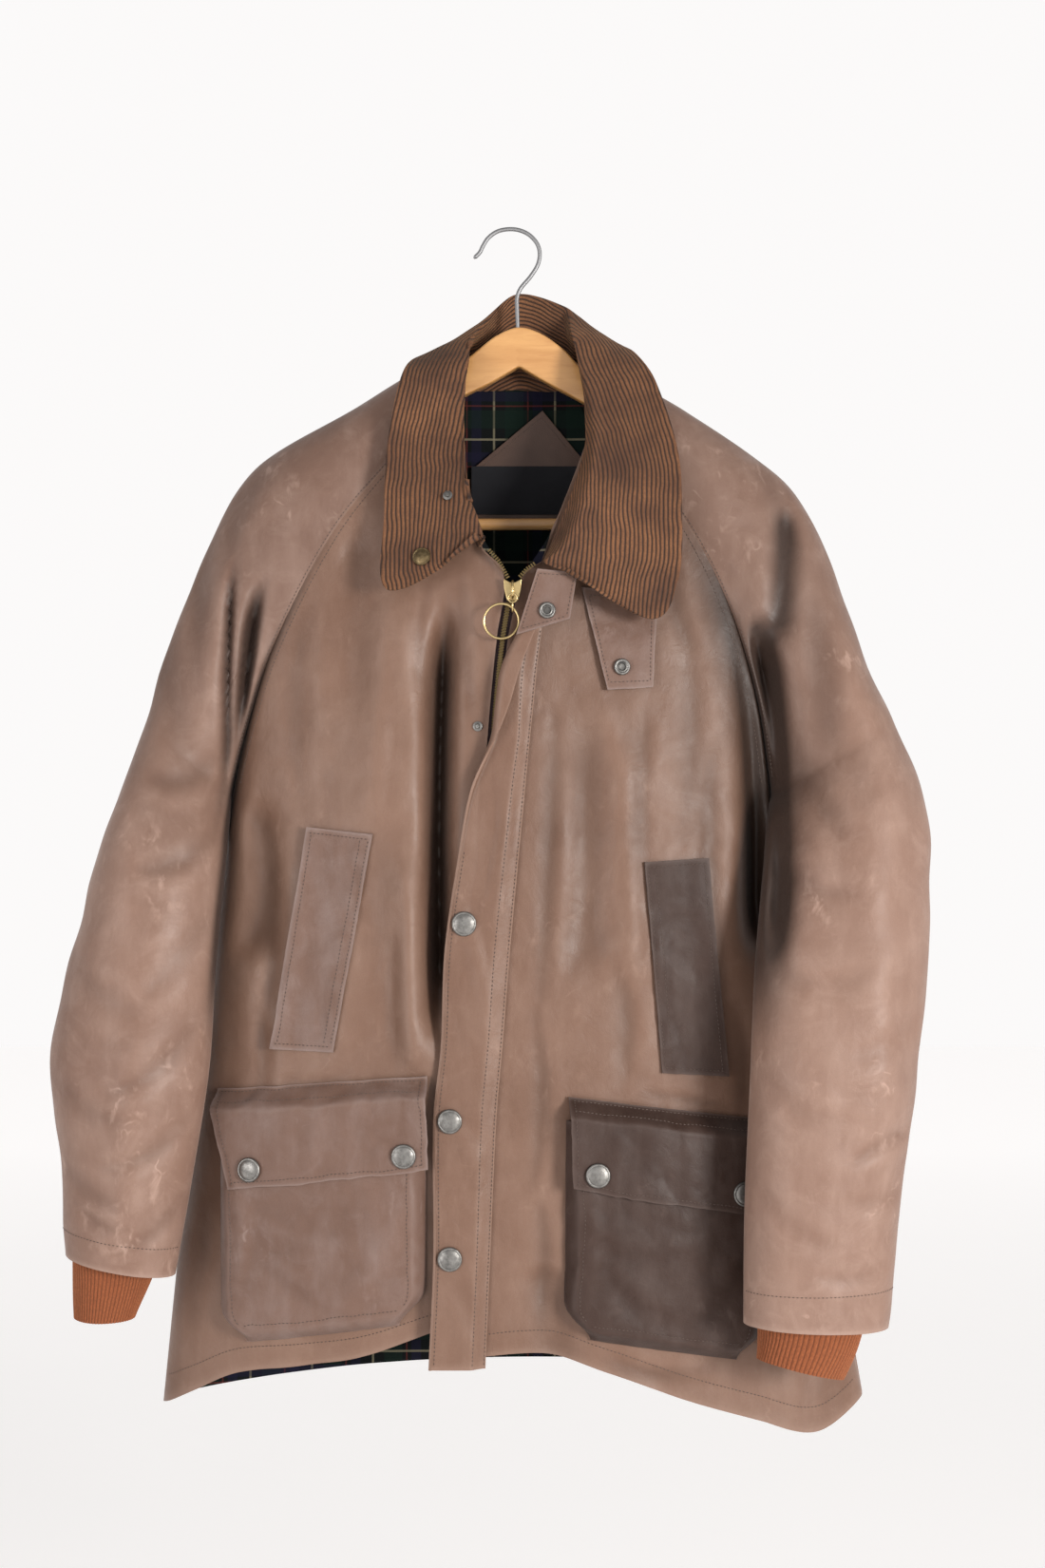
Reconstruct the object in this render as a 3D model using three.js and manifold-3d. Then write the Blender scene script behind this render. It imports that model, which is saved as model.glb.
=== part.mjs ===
// A waxed cotton raglan jacket hanging on a wooden hanger. Millimetres, +Z up, the front faces -Y.
// The origin is inside the crown of the hanger's hook, where the hanger hangs.
import * as THREE from 'three';
import Module from 'manifold-3d';
import { mergeVertices } from 'three/addons/utils/BufferGeometryUtils.js';

// Driving dimensions
const SEAM_GAP = 0.35;
const CLOTH = 2.0;
const FLAP_CLOTH = 1.8;
const LINING_CLOTH = 1.0;
const CORDUROY = 2.4;
const WALE_HEIGHT = 0.7;
const RIB_CLOTH = 2.2;
const RIB_COUNT = 40;
const RIB_HEIGHT = 0.7;
const LAY = 0.9;
const POCKET_DEPTH = 13;
const CAP_DIAMETER = 20;
const CAP_HEIGHT = 3.4;
const CAP_GAP = 0.8;
const SOCKET_DIAMETER = 13.5;
const SOCKET_HEIGHT = 2.6;
const STUD_DIAMETER = 8;
const STUD_HEIGHT = 3;
const PIN_DIAMETER = 15;
const PIN_HEIGHT = 3;
const WOOD_THICKNESS = 13;
const BAR_DIAMETER = 10;
const HOOK_WIRE = 3.2;
const CHAIN_WIDTH = 6;
const CHAIN_THICKNESS = 2.2;
const TAPE_WIDTH = 7.5;
const TAPE_THICKNESS = 0.9;
const RING_OUTER = 30;
const RING_WIRE = 2;

const group = new THREE.Group();
const WAX = new THREE.MeshStandardMaterial({ color: 0x6b5648, roughness: 0.62, metalness: 0 });
const WAX_DARK = new THREE.MeshStandardMaterial({ color: 0x5c4a3f, roughness: 0.55, metalness: 0 });
const CORD = new THREE.MeshStandardMaterial({ color: 0x6a4a26, roughness: 0.9, metalness: 0 });
const KNIT = new THREE.MeshStandardMaterial({ color: 0xa8602f, roughness: 0.95, metalness: 0 });
const LINING = new THREE.MeshStandardMaterial({ color: 0x1c2420, roughness: 0.9, metalness: 0 });
const FACING = new THREE.MeshStandardMaterial({ color: 0x58402f, roughness: 0.8, metalness: 0 });
const LABEL = new THREE.MeshStandardMaterial({ color: 0x14161a, roughness: 0.6, metalness: 0 });
const WOOD = new THREE.MeshStandardMaterial({ color: 0xd59a55, roughness: 0.45, metalness: 0 });
const STEEL = new THREE.MeshStandardMaterial({ color: 0xa9a9a8, roughness: 0.3, metalness: 1 });
const BRASS = new THREE.MeshStandardMaterial({ color: 0xa98a4a, roughness: 0.35, metalness: 1 });
const PEWTER = new THREE.MeshStandardMaterial({ color: 0x7b7872, roughness: 0.4, metalness: 1 });
const TAPE = new THREE.MeshStandardMaterial({ color: 0x4a3a3c, roughness: 0.9, metalness: 0 });

// Small functions for points and for tables whose first column is the way along
const V = (x, y, z) => new THREE.Vector3(x, y, z);
const mix = (a, b, t) => a + (b - a) * t;
const clamp01 = (t) => Math.min(1, Math.max(0, t));
const smooth = (a, b, x) => {
  const t = clamp01((x - a) / (b - a));
  return t * t * (3 - 2 * t);
};

// A row of a table at t, with a smooth monotone curve between the rows
function rowAt(table, t) {
  const last = table.length - 1;
  let i = 0;
  while (i < last - 1 && t > table[i + 1][0]) i += 1;
  const span = table[i + 1][0] - table[i][0];
  const s = clamp01((t - table[i][0]) / span);
  const before = table[Math.max(0, i - 1)];
  const after = table[Math.min(last, i + 2)];
  return table[i].map((_, k) => {
    const a = table[i][k];
    const b = table[i + 1][k];
    const slopeA = i > 0 ? ((b - before[k]) / (table[i + 1][0] - before[0])) * span : b - a;
    const slopeB = i < last - 1 ? ((after[k] - a) / (after[0] - table[i][0])) * span : b - a;
    const s2 = s * s;
    const s3 = s2 * s;
    return a * (2 * s3 - 3 * s2 + 1) + slopeA * (s3 - 2 * s2 + s)
      + b * (3 * s2 - 2 * s3) + slopeB * (s3 - s2);
  });
}

// The largest folds of the front, each a line down the cloth
// Columns: x and z at the top, middle and bottom, half width, depth of the middle, inwards (+) or outwards (-)
const FOLDS = [
  [-54, -300, -60, -440, -60, -690, 11, 25],
  [-92, -500, -84, -600, -74, -720, 16, -9],
  [-122, -240, -128, -300, -126, -420, 20, 6],
  [-96, -300, -108, -400, -116, -520, 24, -8],
  [-212, -470, -206, -540, -220, -620, 15, 10],
  [-228, -215, -236, -330, -250, -480, 9, 15],
  [-290, -640, -300, -740, -312, -840, 22, -6],
  [196, -330, 204, -440, 196, -600, 12, 26],
  [232, -225, 222, -300, 212, -360, 12, 9],
  [60, -400, 62, -520, 52, -640, 20, 7],
  [92, -420, 96, -520, 92, -640, 18, -6],
  [20, -860, 34, -900, 40, -960, 18, 6],
  [300, -400, 290, -560, 296, -760, 26, -6],
];
const FOLD_TAPER = 0.22;

function foldDepth(x, z) {
  let depth = 0;
  for (const [xa, za, xm, zm, xb, zb, halfWidth, deep] of FOLDS) {
    const t = (z - za) / (zb - za);
    if (t <= 0 || t >= 1) continue;
    const tm = (zm - za) / (zb - za);
    const centre = mix(mix(xa, xb, t), xm + (xm - mix(xa, xb, tm)), 2 * t * (1 - t));
    const across = (x - centre) / halfWidth;
    if (Math.abs(across) > 2.6) continue;
    const taper = smooth(0, FOLD_TAPER, t) * smooth(0, FOLD_TAPER, 1 - t);
    depth += deep * taper * Math.exp(-across * across);
  }
  return depth;
}

// The zip line down the middle: z, x
const ZIP_LINE = [
  [-940, -43],
  [-800, -38],
  [-600, -29],
  [-500, -21],
  [-401, -13.5],
  [-348, -8],
  [-310, -1.5],
  [-298, 1.5],
];
const zipX = (z) => rowAt(ZIP_LINE, z)[1];

// Stations run down the garment. 0 to 8 is the raglan seam from the neck to the underarm. A front or back then
// reaches its hem at 18 and a sleeve its hem at 20. Panels that share a seam share its line and stations.
const UNDERARM = 8;
const PANEL_HEM = 18;
const SLEEVE_HEM = 20;
const UNDERARM_GAP = 1.6;

// Front raglan seam, then side seam: station, x, y, z
const LEFT_EDGE = [
  [0, -66, -36, -163],
  [2, -105, -44, -204],
  [4, -150, -49, -262],
  [6, -197, -44, -352],
  [7, -219, -27, -414],
  [8, -235, -6, -474],
  [11, -252, 0, -600],
  [14, -271, 1, -760],
  [18, -294, 0, -983],
];
const RIGHT_EDGE = [
  [0, 68, -36, -163],
  [2, 108, -43, -205],
  [4, 146, -49, -256],
  [6, 182, -46, -330],
  [7, 203, -34, -400],
  [8, 215, -18, -474],
  [11, 232, -4, -600],
  [14, 256, 0, -760],
  [18, 294, 0, -976],
];

// Back raglan seam: station, x, y, z
const LEFT_BACK_EDGE = [
  [0, -64, 20, -134],
  [2, -98, 24, -176],
  [4, -142, 27, -244],
  [6, -196, 24, -346],
  [7, -219, 12, -412],
  [8, -235, -6, -474],
];
const RIGHT_BACK_EDGE = [
  [0, 64, 20, -134],
  [2, 98, 24, -176],
  [4, 142, 27, -244],
  [6, 182, 20, -336],
  [7, 203, 4, -404],
  [8, 215, -18, -474],
];

// Middle edge of each front, along the zip: station, x, y, z, roundness of the panel across
const LEFT_MIDDLE = [
  [0, -25, -76, -276, 1],
  [1.4, -7, -77, -299, 1],
  [3, -12.5, -78, -345, 1.05],
  [5, -18, -78, -400, 1.15],
  [6, -22, -78, -450, 1.35],
  [8, -31, -78, -560, 2],
  [11, -37, -78, -660, 2.3],
  [14, -42, -76, -760, 2.3],
  [18, -47, -70, -905, 2.3],
];
const RIGHT_MIDDLE = [
  [0, 24, -76, -286, 1],
  [1.4, 9, -77, -299, 1],
  [3, -3, -78, -345, 1.05],
  [5, -8.8, -78, -400, 1.15],
  [6, -12.8, -78, -450, 1.35],
  [8, -21.3, -78, -560, 2],
  [11, -27.8, -78, -660, 2.3],
  [14, -31.8, -77, -760, 2.3],
  [18, -38, -74, -938, 2.3],
];

// How much lower or higher the hem runs than a straight line: x, rise
const LEFT_HEM = [
  [-294, 0],
  [-262, 8],
  [-227, 14],
  [-176, 6],
  [-121, -2],
  [-66, 0],
];
const RIGHT_HEM = [
  [-66, 0],
  [22, 18],
  [78, 8],
  [140, -8],
  [200, -20],
  [250, -28],
  [294, 0],
];
const HEM_LIFT_STARTS = -780;
const HEM_LIFT_ENDS = -930;
const hemLift = (table, x, z) => rowAt(table, Math.max(table[0][0], Math.min(table.at(-1)[0], x)))[1]
  * smooth(HEM_LIFT_STARTS, HEM_LIFT_ENDS, z);

const LEFT = { side: -1, edge: LEFT_EDGE, middle: LEFT_MIDDLE, hem: LEFT_HEM };
const RIGHT = { side: 1, edge: RIGHT_EDGE, middle: RIGHT_MIDDLE, hem: RIGHT_HEM };

// The gap at a seam is wider just below the underarm, where four edges meet
const seamGap = (k) => SEAM_GAP + UNDERARM_GAP * Math.exp(-(((k - UNDERARM - 0.4) / 1.1) ** 2));

// A point of a front panel: u from the outer edge to the middle, k down the stations
function frontPoint({ side, edge, middle, hem }, u, k) {
  const [, xe, ye, ze] = rowAt(edge, k);
  const [, xm, ym, zm, round] = rowAt(middle, k);
  const gap = seamGap(k);
  const x = mix(xe - side * gap, xm, u);
  const flat = mix(ze, zm, u);
  const y = ye - SEAM_GAP / 2 + (ym - ye) * (1 - (1 - u) ** round) ** (1 / round);
  return V(x, y + foldDepth(x, flat) * smooth(0, 0.12, u), flat + hemLift(hem, x, flat));
}

// The same panel read the other way: its depth at x, z
function panelAt(panel, x, z) {
  const flat = z - hemLift(panel.hem, x, z - hemLift(panel.hem, x, z));
  let low = 0;
  let high = PANEL_HEM;
  for (let i = 0; i < 24; i += 1) {
    const k = (low + high) / 2;
    const [, xe, , ze] = rowAt(panel.edge, k);
    const [, xm, , zm] = rowAt(panel.middle, k);
    if (mix(ze, zm, (x - xe) / (xm - xe)) > flat) low = k;
    else high = k;
  }
  const k = (low + high) / 2;
  const xe = rowAt(panel.edge, k)[1];
  const xm = rowAt(panel.middle, k)[1];
  return frontPoint(panel, clamp01((x - xe) / (xm - xe)), k).y;
}
const rightDepth = (x, z) => panelAt(RIGHT, x, z);

// The back: station, middle y, roundness across
const BACK_MIDDLE = [
  [0, 27, 1.6],
  [3, 31, 1.6],
  [6, 36, 2],
  [8, 38, 2.1],
  [11, 40, 2.3],
  [14, 41, 2.3],
  [18, 40, 2.3],
];
// Soft folds of the back: x, z at the top, x, z at the bottom, half width, depth
const BACK_FOLDS = [
  [-60, -220, -64, -900, 34, 7],
  [70, -260, 70, -940, 30, 8],
  [150, -480, 176, -960, 30, -6],
  [-160, -420, -180, -940, 34, -7],
];
const BACK_HEM_RISE = 22;

function backPoint(u, k) {
  const [, xl, yl, zl] = k < UNDERARM ? rowAt(LEFT_BACK_EDGE, k) : rowAt(LEFT_EDGE, k);
  const [, xr, yr, zr] = k < UNDERARM ? rowAt(RIGHT_BACK_EDGE, k) : rowAt(RIGHT_EDGE, k);
  const [, ym, round] = rowAt(BACK_MIDDLE, k);
  const x = mix(xl + seamGap(k), xr - seamGap(k), u);
  const z = mix(zl, zr, u);
  const edge = Math.abs(2 * u - 1);
  const side = mix(yl, yr, u) + SEAM_GAP / 2;
  let y = side + (ym - side) * (1 - edge ** round) ** (1 / round);
  for (const [xa, za, xb, zb, halfWidth, deep] of BACK_FOLDS) {
    const t = clamp01((z - za) / (zb - za));
    const across = (x - mix(xa, xb, t)) / halfWidth;
    y -= deep * Math.sin(Math.PI * t) * Math.exp(-across * across);
  }
  return V(x, y, z + BACK_HEM_RISE * (1 - edge ** 2) * smooth(HEM_LIFT_STARTS, HEM_LIFT_ENDS, z));
}

// Outer line of a sleeve: station, x, y, z, front bulge, back bulge, share of the round tube
const LEFT_OUTER = [
  [0, -72, -3, -113, 2, 2, 0],
  [1, -100, -4, -130, 3, 3, 0],
  [2, -134, -2, -151, 4, 3, 0],
  [4, -206, 0, -192, 8, 6, 0],
  [5, -233, -4, -222, 11, 9, 0.15],
  [6, -256, -10, -270, 20, 16, 0.4],
  [7, -281, -20, -334, 34, 30, 0.75],
  [8, -304, -27, -410, 44, 42, 0.95],
  [10, -334, -40, -503, 52, 44, 1],
  [12.5, -360, -54, -603, 54, 42, 1],
  [14.5, -376, -62, -688, 52, 42, 1],
  [17, -365, -66, -770, 46, 40, 1],
  [20, -364, -66, -846, 40, 36, 1],
];
const RIGHT_OUTER = [
  [0, 73, -3, -108, 2, 2, 0],
  [1, 106, -4, -130, 3, 3, 0],
  [2, 144, -2, -152, 4, 3, 0],
  [4, 208, 0, -195, 8, 6, 0],
  [5, 238, -4, -224, 13, 9, 0.15],
  [6, 266, -14, -280, 28, 16, 0.4],
  [7, 290, -30, -356, 44, 28, 0.75],
  [8, 312, -46, -414, 52, 36, 0.95],
  [10, 337, -60, -484, 54, 40, 1],
  [12.5, 335, -82, -600, 50, 42, 1],
  [14.5, 323, -94, -696, 48, 42, 1],
  [17, 311, -98, -790, 44, 38, 1],
  [20, 300, -98, -898, 38, 34, 1],
];
// Inner line of a sleeve below the underarm: station, x, y, z
const LEFT_INNER = [
  [8, -235, -6, -474],
  [9, -238, -22, -500],
  [10, -239, -40, -530],
  [12.5, -242, -60, -615],
  [14.5, -246, -70, -695],
  [17, -259, -74, -782],
  [20, -273, -74, -862],
];
const RIGHT_INNER = [
  [8, 215, -18, -474],
  [9, 211, -43, -496],
  [10, 204, -66, -530],
  [12.5, 194, -94, -612],
  [14.5, 189, -106, -700],
  [17, 184, -112, -800],
  [20, 183, -112, -892],
];
const LEFT_SLEEVE = {
  side: -1, edge: LEFT_EDGE, backEdge: LEFT_BACK_EDGE, inner: LEFT_INNER, outer: LEFT_OUTER,
};
const RIGHT_SLEEVE = {
  side: 1, edge: RIGHT_EDGE, backEdge: RIGHT_BACK_EDGE, inner: RIGHT_INNER, outer: RIGHT_OUTER,
};

// A point of a sleeve: u from the front seam round the outside to the back seam, k down the stations
function sleevePoint({ side, edge, backEdge, inner, outer }, u, k) {
  const [, ox, oy, oz, front, back, tube] = rowAt(outer, k);
  const forward = u < 0.5;
  const [, x0, y0, z0] = k >= UNDERARM ? rowAt(inner, k) : rowAt(forward ? edge : backEdge, k);
  const s = (1 - Math.cos(2 * Math.PI * u)) / 2;
  const round = 2 * Math.sqrt(Math.max(0, s * (1 - s)));
  const cap = Math.sqrt(Math.max(0, 1 - s ** 2.4));
  const way = forward ? -1 : 1;
  const bulge = way * (forward ? front : back);
  const x = mix(x0 + side * SEAM_GAP, ox, s);
  const z = mix(z0, oz, s);
  const lying = oy + (y0 - oy) * cap + bulge * Math.sin(Math.PI * s) * 0.6;
  const hanging = mix(y0, oy, s) + bulge * round;
  const y = mix(lying, hanging, tube) + way * SEAM_GAP * (1 - s);
  const fold = forward ? foldDepth(x, z) * smooth(0, 0.15, s) * smooth(1, 0.7, s) : 0;
  return V(x, y + fold, z);
}

// The collar from the left front round the back of the neck to the right front
// Columns: way round, neck seam x, y, z, roll line x, y, z, outer edge x, y, z, roll half width
const COLLAR = [
  [0, -26, -81, -275, -23, -90, -270, -30, -92, -264, 1.6],
  [0.05, -36, -76, -252, -27, -89, -256, -72, -90, -300, 3],
  [0.12, -47, -69, -228, -34, -82, -236, -104, -84, -306, 4.5],
  [0.22, -56, -54, -196, -38, -68, -202, -104, -74, -246, 6],
  [0.31, -60, -36, -162, -40, -47, -158, -102, -62, -188, 7],
  [0.37, -61, -18, -128, -37, -33, -118, -93, -50, -136, 8],
  [0.41, -58, 2, -105, -33, -12, -93, -80, -17, -103, 8],
  [0.45, -48, 18, -122, -23, 9, -78, -62, 20, -96, 7],
  [0.5, 2, 21.5, -138, 3, 26, -52, 4, 42, -82, 6],
  [0.55, 47, 19, -122, 42, 14, -64, 68, 27, -94, 7],
  [0.58, 57, 11, -106, 46, 4, -76, 92, 8, -99, 8],
  [0.61, 64, -5, -103, 49, -14, -90, 106, -20, -110, 8],
  [0.64, 65, -16, -124, 54, -28, -114, 118, -42, -134, 8],
  [0.7, 62, -35, -164, 64, -47, -154, 134, -60, -190, 7],
  [0.79, 57, -53, -198, 66, -67, -198, 137, -76, -246, 6],
  [0.88, 46, -69, -234, 56, -84, -244, 133, -86, -302, 4.5],
  [0.95, 35, -76, -262, 42, -92, -274, 110, -91, -333, 3],
  [1, 25, -81, -286, 24, -94, -287, 46, -99, -293, 1.6],
];
const COLLAR_CENTRE = V(2, -20, -150);

// A point of the collar: u from the neck seam over the roll to the outer edge, t from left to right
function collarPoint(u, t) {
  const [, nx, ny, nz, rx, ry, rz, ex, ey, ez, half] = rowAt(COLLAR, t);
  const neck = V(nx, ny, nz);
  const roll = V(rx, ry, rz);
  const edge = V(ex, ey, ez);
  const out = edge.clone().sub(neck);
  const side = V(rx - COLLAR_CENTRE.x, ry - COLLAR_CENTRE.y, 0).normalize();
  const fallWay = edge.clone().sub(roll).normalize();
  const standWay = neck.clone().sub(roll).normalize();
  const lift = side.add(out.normalize()).add(fallWay.clone().multiplyScalar(-0.3)).normalize();
  const inner = roll.clone().addScaledVector(standWay, half * 1.3).addScaledVector(lift, -half * 0.35);
  const outer = roll.clone().addScaledVector(fallWay, half * 1.5).addScaledVector(lift, half * 0.35);
  const standMiddle = neck.clone().lerp(inner, 0.5);
  const fallMiddle = outer.clone().lerp(edge, 0.5);
  const knots = [neck, standMiddle, inner, roll, outer, fallMiddle, edge];
  return new THREE.CatmullRomCurve3(knots, false, 'centripetal').getPoint(u);
}

// Closed walls: S(u, v) is the outer face, and the inner face lies a thickness behind it.
// ridge(u, v) raises the outer face only. The inner face may have fewer columns.
function wallGeometry(S, columns, rows, thickness, options = {}) {
  const { ridge = null, innerColumns = columns, seam = null } = options;
  const STEP = 1e-4;
  const normalAt = (u, v) => {
    const u0 = Math.max(0, u - STEP);
    const u1 = Math.min(1, u + STEP);
    const v0 = Math.max(0, v - STEP);
    const v1 = Math.min(1, v + STEP);
    const du = S(u1, v).sub(S(u0, v));
    const dv = S(u, v1).sub(S(u, v0));
    const normal = du.cross(dv).normalize();
    return seam ? seam(u, v, normal) : normal;
  };
  const points = [];
  const grid = (count, place) => {
    const first = points.length;
    for (let j = 0; j <= rows; j += 1) {
      for (let i = 0; i <= count; i += 1) points.push(place(i / count, j / rows));
    }
    return (i, j) => first + j * (count + 1) + i;
  };
  const outer = grid(columns, (u, v) => {
    const p = S(u, v);
    return ridge ? p.addScaledVector(normalAt(u, v), ridge(u, v)) : p;
  });
  const inner = grid(innerColumns, (u, v) => S(u, v).addScaledVector(normalAt(u, v), -thickness));
  const faces = [];
  for (let j = 0; j < rows; j += 1) {
    for (let i = 0; i < columns; i += 1) {
      faces.push([outer(i, j), outer(i + 1, j), outer(i + 1, j + 1)]);
      faces.push([outer(i, j), outer(i + 1, j + 1), outer(i, j + 1)]);
    }
    for (let i = 0; i < innerColumns; i += 1) {
      faces.push([inner(i, j), inner(i + 1, j + 1), inner(i + 1, j)]);
      faces.push([inner(i, j), inner(i, j + 1), inner(i + 1, j + 1)]);
    }
    faces.push([outer(0, j), outer(0, j + 1), inner(0, j)]);
    faces.push([outer(0, j + 1), inner(0, j + 1), inner(0, j)]);
    faces.push([outer(columns, j), inner(innerColumns, j), outer(columns, j + 1)]);
    faces.push([outer(columns, j + 1), inner(innerColumns, j), inner(innerColumns, j + 1)]);
  }
  for (const [j, turn] of [[0, false], [rows, true]]) {
    let a = 0;
    let b = 0;
    while (a < columns || b < innerColumns) {
      const takeOuter = b === innerColumns || (a < columns && (a + 1) / columns <= (b + 1) / innerColumns);
      const face = takeOuter
        ? [outer(a, j), inner(b, j), outer(a + 1, j)]
        : [outer(a, j), inner(b, j), inner(b + 1, j)];
      faces.push(turn ? face.reverse() : face);
      if (takeOuter) a += 1;
      else b += 1;
    }
  }
  return closedGeometry(points, faces);
}

// A tube wall closed round u, open at both ends
function tubeGeometry(S, columns, rows, thickness, { ridge = null, innerColumns = columns } = {}) {
  const STEP = 1e-4;
  const normalAt = (u, v) => {
    const v0 = Math.max(0, v - STEP);
    const v1 = Math.min(1, v + STEP);
    const du = S((u + STEP) % 1, v).sub(S((u - STEP + 1) % 1, v));
    return du.cross(S(u, v1).sub(S(u, v0))).normalize();
  };
  const points = [];
  const ring = (count, place) => {
    const first = points.length;
    for (let j = 0; j <= rows; j += 1) {
      for (let i = 0; i < count; i += 1) points.push(place(i / count, j / rows));
    }
    return (i, j) => first + j * count + (i % count);
  };
  const outer = ring(columns, (u, v) => S(u, v).addScaledVector(normalAt(u, v), ridge ? ridge(u, v) : 0));
  const inner = ring(innerColumns, (u, v) => S(u, v).addScaledVector(normalAt(u, v), -thickness));
  const faces = [];
  for (let j = 0; j < rows; j += 1) {
    for (let i = 0; i < columns; i += 1) {
      faces.push([outer(i, j), outer(i + 1, j), outer(i + 1, j + 1)]);
      faces.push([outer(i, j), outer(i + 1, j + 1), outer(i, j + 1)]);
    }
    for (let i = 0; i < innerColumns; i += 1) {
      faces.push([inner(i, j), inner(i + 1, j + 1), inner(i + 1, j)]);
      faces.push([inner(i, j), inner(i, j + 1), inner(i + 1, j + 1)]);
    }
  }
  for (const [j, turn] of [[0, false], [rows, true]]) {
    let a = 0;
    let b = 0;
    while (a < columns || b < innerColumns) {
      const takeOuter = b === innerColumns || (a < columns && (a + 1) / columns <= (b + 1) / innerColumns);
      const face = takeOuter
        ? [outer(a, j), inner(b, j), outer(a + 1, j)]
        : [outer(a, j), inner(b, j), inner(b + 1, j)];
      faces.push(turn ? face.reverse() : face);
      if (takeOuter) a += 1;
      else b += 1;
    }
  }
  return closedGeometry(points, faces);
}

// Turns points and faces into a geometry whose faces point outwards
function closedGeometry(points, faces) {
  let volume = 0;
  for (const [a, b, c] of faces) volume += points[a].dot(points[b].clone().cross(points[c]));
  const outward = volume > 0 ? faces : faces.map(([a, b, c]) => [a, c, b]);
  const geometry = new THREE.BufferGeometry();
  const values = points.flatMap((p) => [p.x, p.y, p.z]);
  geometry.setAttribute('position', new THREE.Float32BufferAttribute(values, 3));
  geometry.setIndex(outward.flat());
  geometry.computeVertexNormals();
  return geometry;
}

function add(name, geometry, material) {
  const mesh = new THREE.Mesh(geometry, material);
  mesh.name = name;
  group.add(mesh);
  return mesh;
}

// Body panels and sleeves
const cosine = (u) => 1 - Math.cos((Math.PI / 2) * u);
const halfCosine = (u) => (1 - Math.cos(Math.PI * u)) / 2;
// Both walls at a raglan seam are cut square to one shared direction
function seamCut(normal, k, side, way, sign) {
  const share = smooth(UNDERARM, UNDERARM - 2, k);
  const shared = V(side * 0.25, way, mix(0.7, 0.1, smooth(0, 4, k))).normalize().multiplyScalar(sign);
  return normal.clone().lerp(shared, share).normalize();
}
const frontWall = (panel) => wallGeometry((u, v) => frontPoint(panel, cosine(u), v * PANEL_HEM),
  16, PANEL_HEM, panel.side * CLOTH, {
    seam: (u, v, n) => (u === 0 ? seamCut(n, v * PANEL_HEM, panel.side, -1, panel.side) : n),
  });
add('front_left', frontWall(LEFT), WAX);
add('front_right', frontWall(RIGHT), WAX);
add('back', wallGeometry((u, v) => backPoint(halfCosine(u), v * PANEL_HEM), 12, PANEL_HEM, CLOTH, {
  seam: (u, v, n) => (u === 0 || u === 1 ? seamCut(n, v * PANEL_HEM, 2 * u - 1, 1, 1) : n),
}), WAX);
const sleeveWall = (sleeve) => wallGeometry((u, v) => sleevePoint(sleeve, u, v * SLEEVE_HEM),
  16, SLEEVE_HEM, -sleeve.side * CLOTH, {
    seam: (u, v, n) => (u === 0 || u === 1
      ? seamCut(n, v * SLEEVE_HEM, sleeve.side, 2 * u - 1, -sleeve.side) : n),
  });
add('sleeve_left', sleeveWall(LEFT_SLEEVE), WAX);
add('sleeve_right', sleeveWall(RIGHT_SLEEVE), WAX);

// Rib cuffs: rings from the seam inside the sleeve down to the open end
// Columns: way down, middle x, y, z, half width, half depth, slope of the ring across and from front to back
const LEFT_CUFF = [
  [0.35, -323, -70, -845, 34, 28, -0.12, 0],
  [0.6, -325, -71, -866, 31, 26, -0.05, 0],
  [1, -330, -72, -897, 24, 22, 0, 0.03],
];
const RIGHT_CUFF = [
  [0.35, 239, -107, -890, 42, 26, -0.06, 0],
  [0.6, 235, -107, -908, 39, 25, -0.14, 0],
  [1, 228, -106, -930, 34, 25, -0.24, -0.1],
];
const CUFF_SEAM_STATION = 18.9;
const CUFF_SEAM_SHARE = 0.35;
const CUFF_SEAM_DEPTH = 4.6;

function cuffPoint(sleeve, table, u, v) {
  const [, cx, cy, cz, halfWidth, halfDepth, across, along] = rowAt(table, Math.max(v, CUFF_SEAM_SHARE));
  const angle = 2 * Math.PI * u;
  const dx = sleeve.side * halfWidth * -Math.cos(angle);
  const dy = -halfDepth * Math.sin(angle);
  const free = V(cx + dx, cy + dy, cz + across * dx + along * dy);
  if (v >= CUFF_SEAM_SHARE) return free;
  const sewn = sleevePoint(sleeve, u, CUFF_SEAM_STATION);
  const facing = sleevePoint(sleeve, 0.5, CUFF_SEAM_STATION);
  const middle = sleevePoint(sleeve, 0, CUFF_SEAM_STATION).lerp(facing, 0.5);
  const inward = middle.clone().sub(sewn);
  sewn.addScaledVector(inward.normalize(), CUFF_SEAM_DEPTH);
  return sewn.lerp(free, smooth(0, CUFF_SEAM_SHARE, v));
}
const ribWall = (sleeve, table) => tubeGeometry((u, v) => cuffPoint(sleeve, table, u, v), 2 * RIB_COUNT, 3,
  -sleeve.side * RIB_CLOTH, {
    ridge: (u) => (Math.round(u * 2 * RIB_COUNT) % 2 ? -sleeve.side * RIB_HEIGHT : 0),
    innerColumns: 16,
  });
add('cuff_left', ribWall(LEFT_SLEEVE, LEFT_CUFF), KNIT);
add('cuff_right', ribWall(RIGHT_SLEEVE, RIGHT_CUFF), KNIT);

// Collar
const WALE_COUNT = 34;
const COLLAR_ROWS = 16;
add('collar', wallGeometry(collarPoint, 2 * WALE_COUNT, COLLAR_ROWS, -CORDUROY,
  { ridge: (u) => (Math.round(u * 2 * WALE_COUNT) % 2 ? -WALE_HEIGHT : 0), innerColumns: 10 }), CORD);

// A point on a front panel at x, z, moved out from it
function onFront(panel, x, z, out) {
  const d = 1;
  const slopeX = (panelAt(panel, x + d, z) - panelAt(panel, x - d, z)) / (2 * d);
  const slopeZ = (panelAt(panel, x, z + d) - panelAt(panel, x, z - d)) / (2 * d);
  return V(x, panelAt(panel, x, z), z).addScaledVector(V(slopeX, -1, slopeZ).normalize(), out);
}

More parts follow.
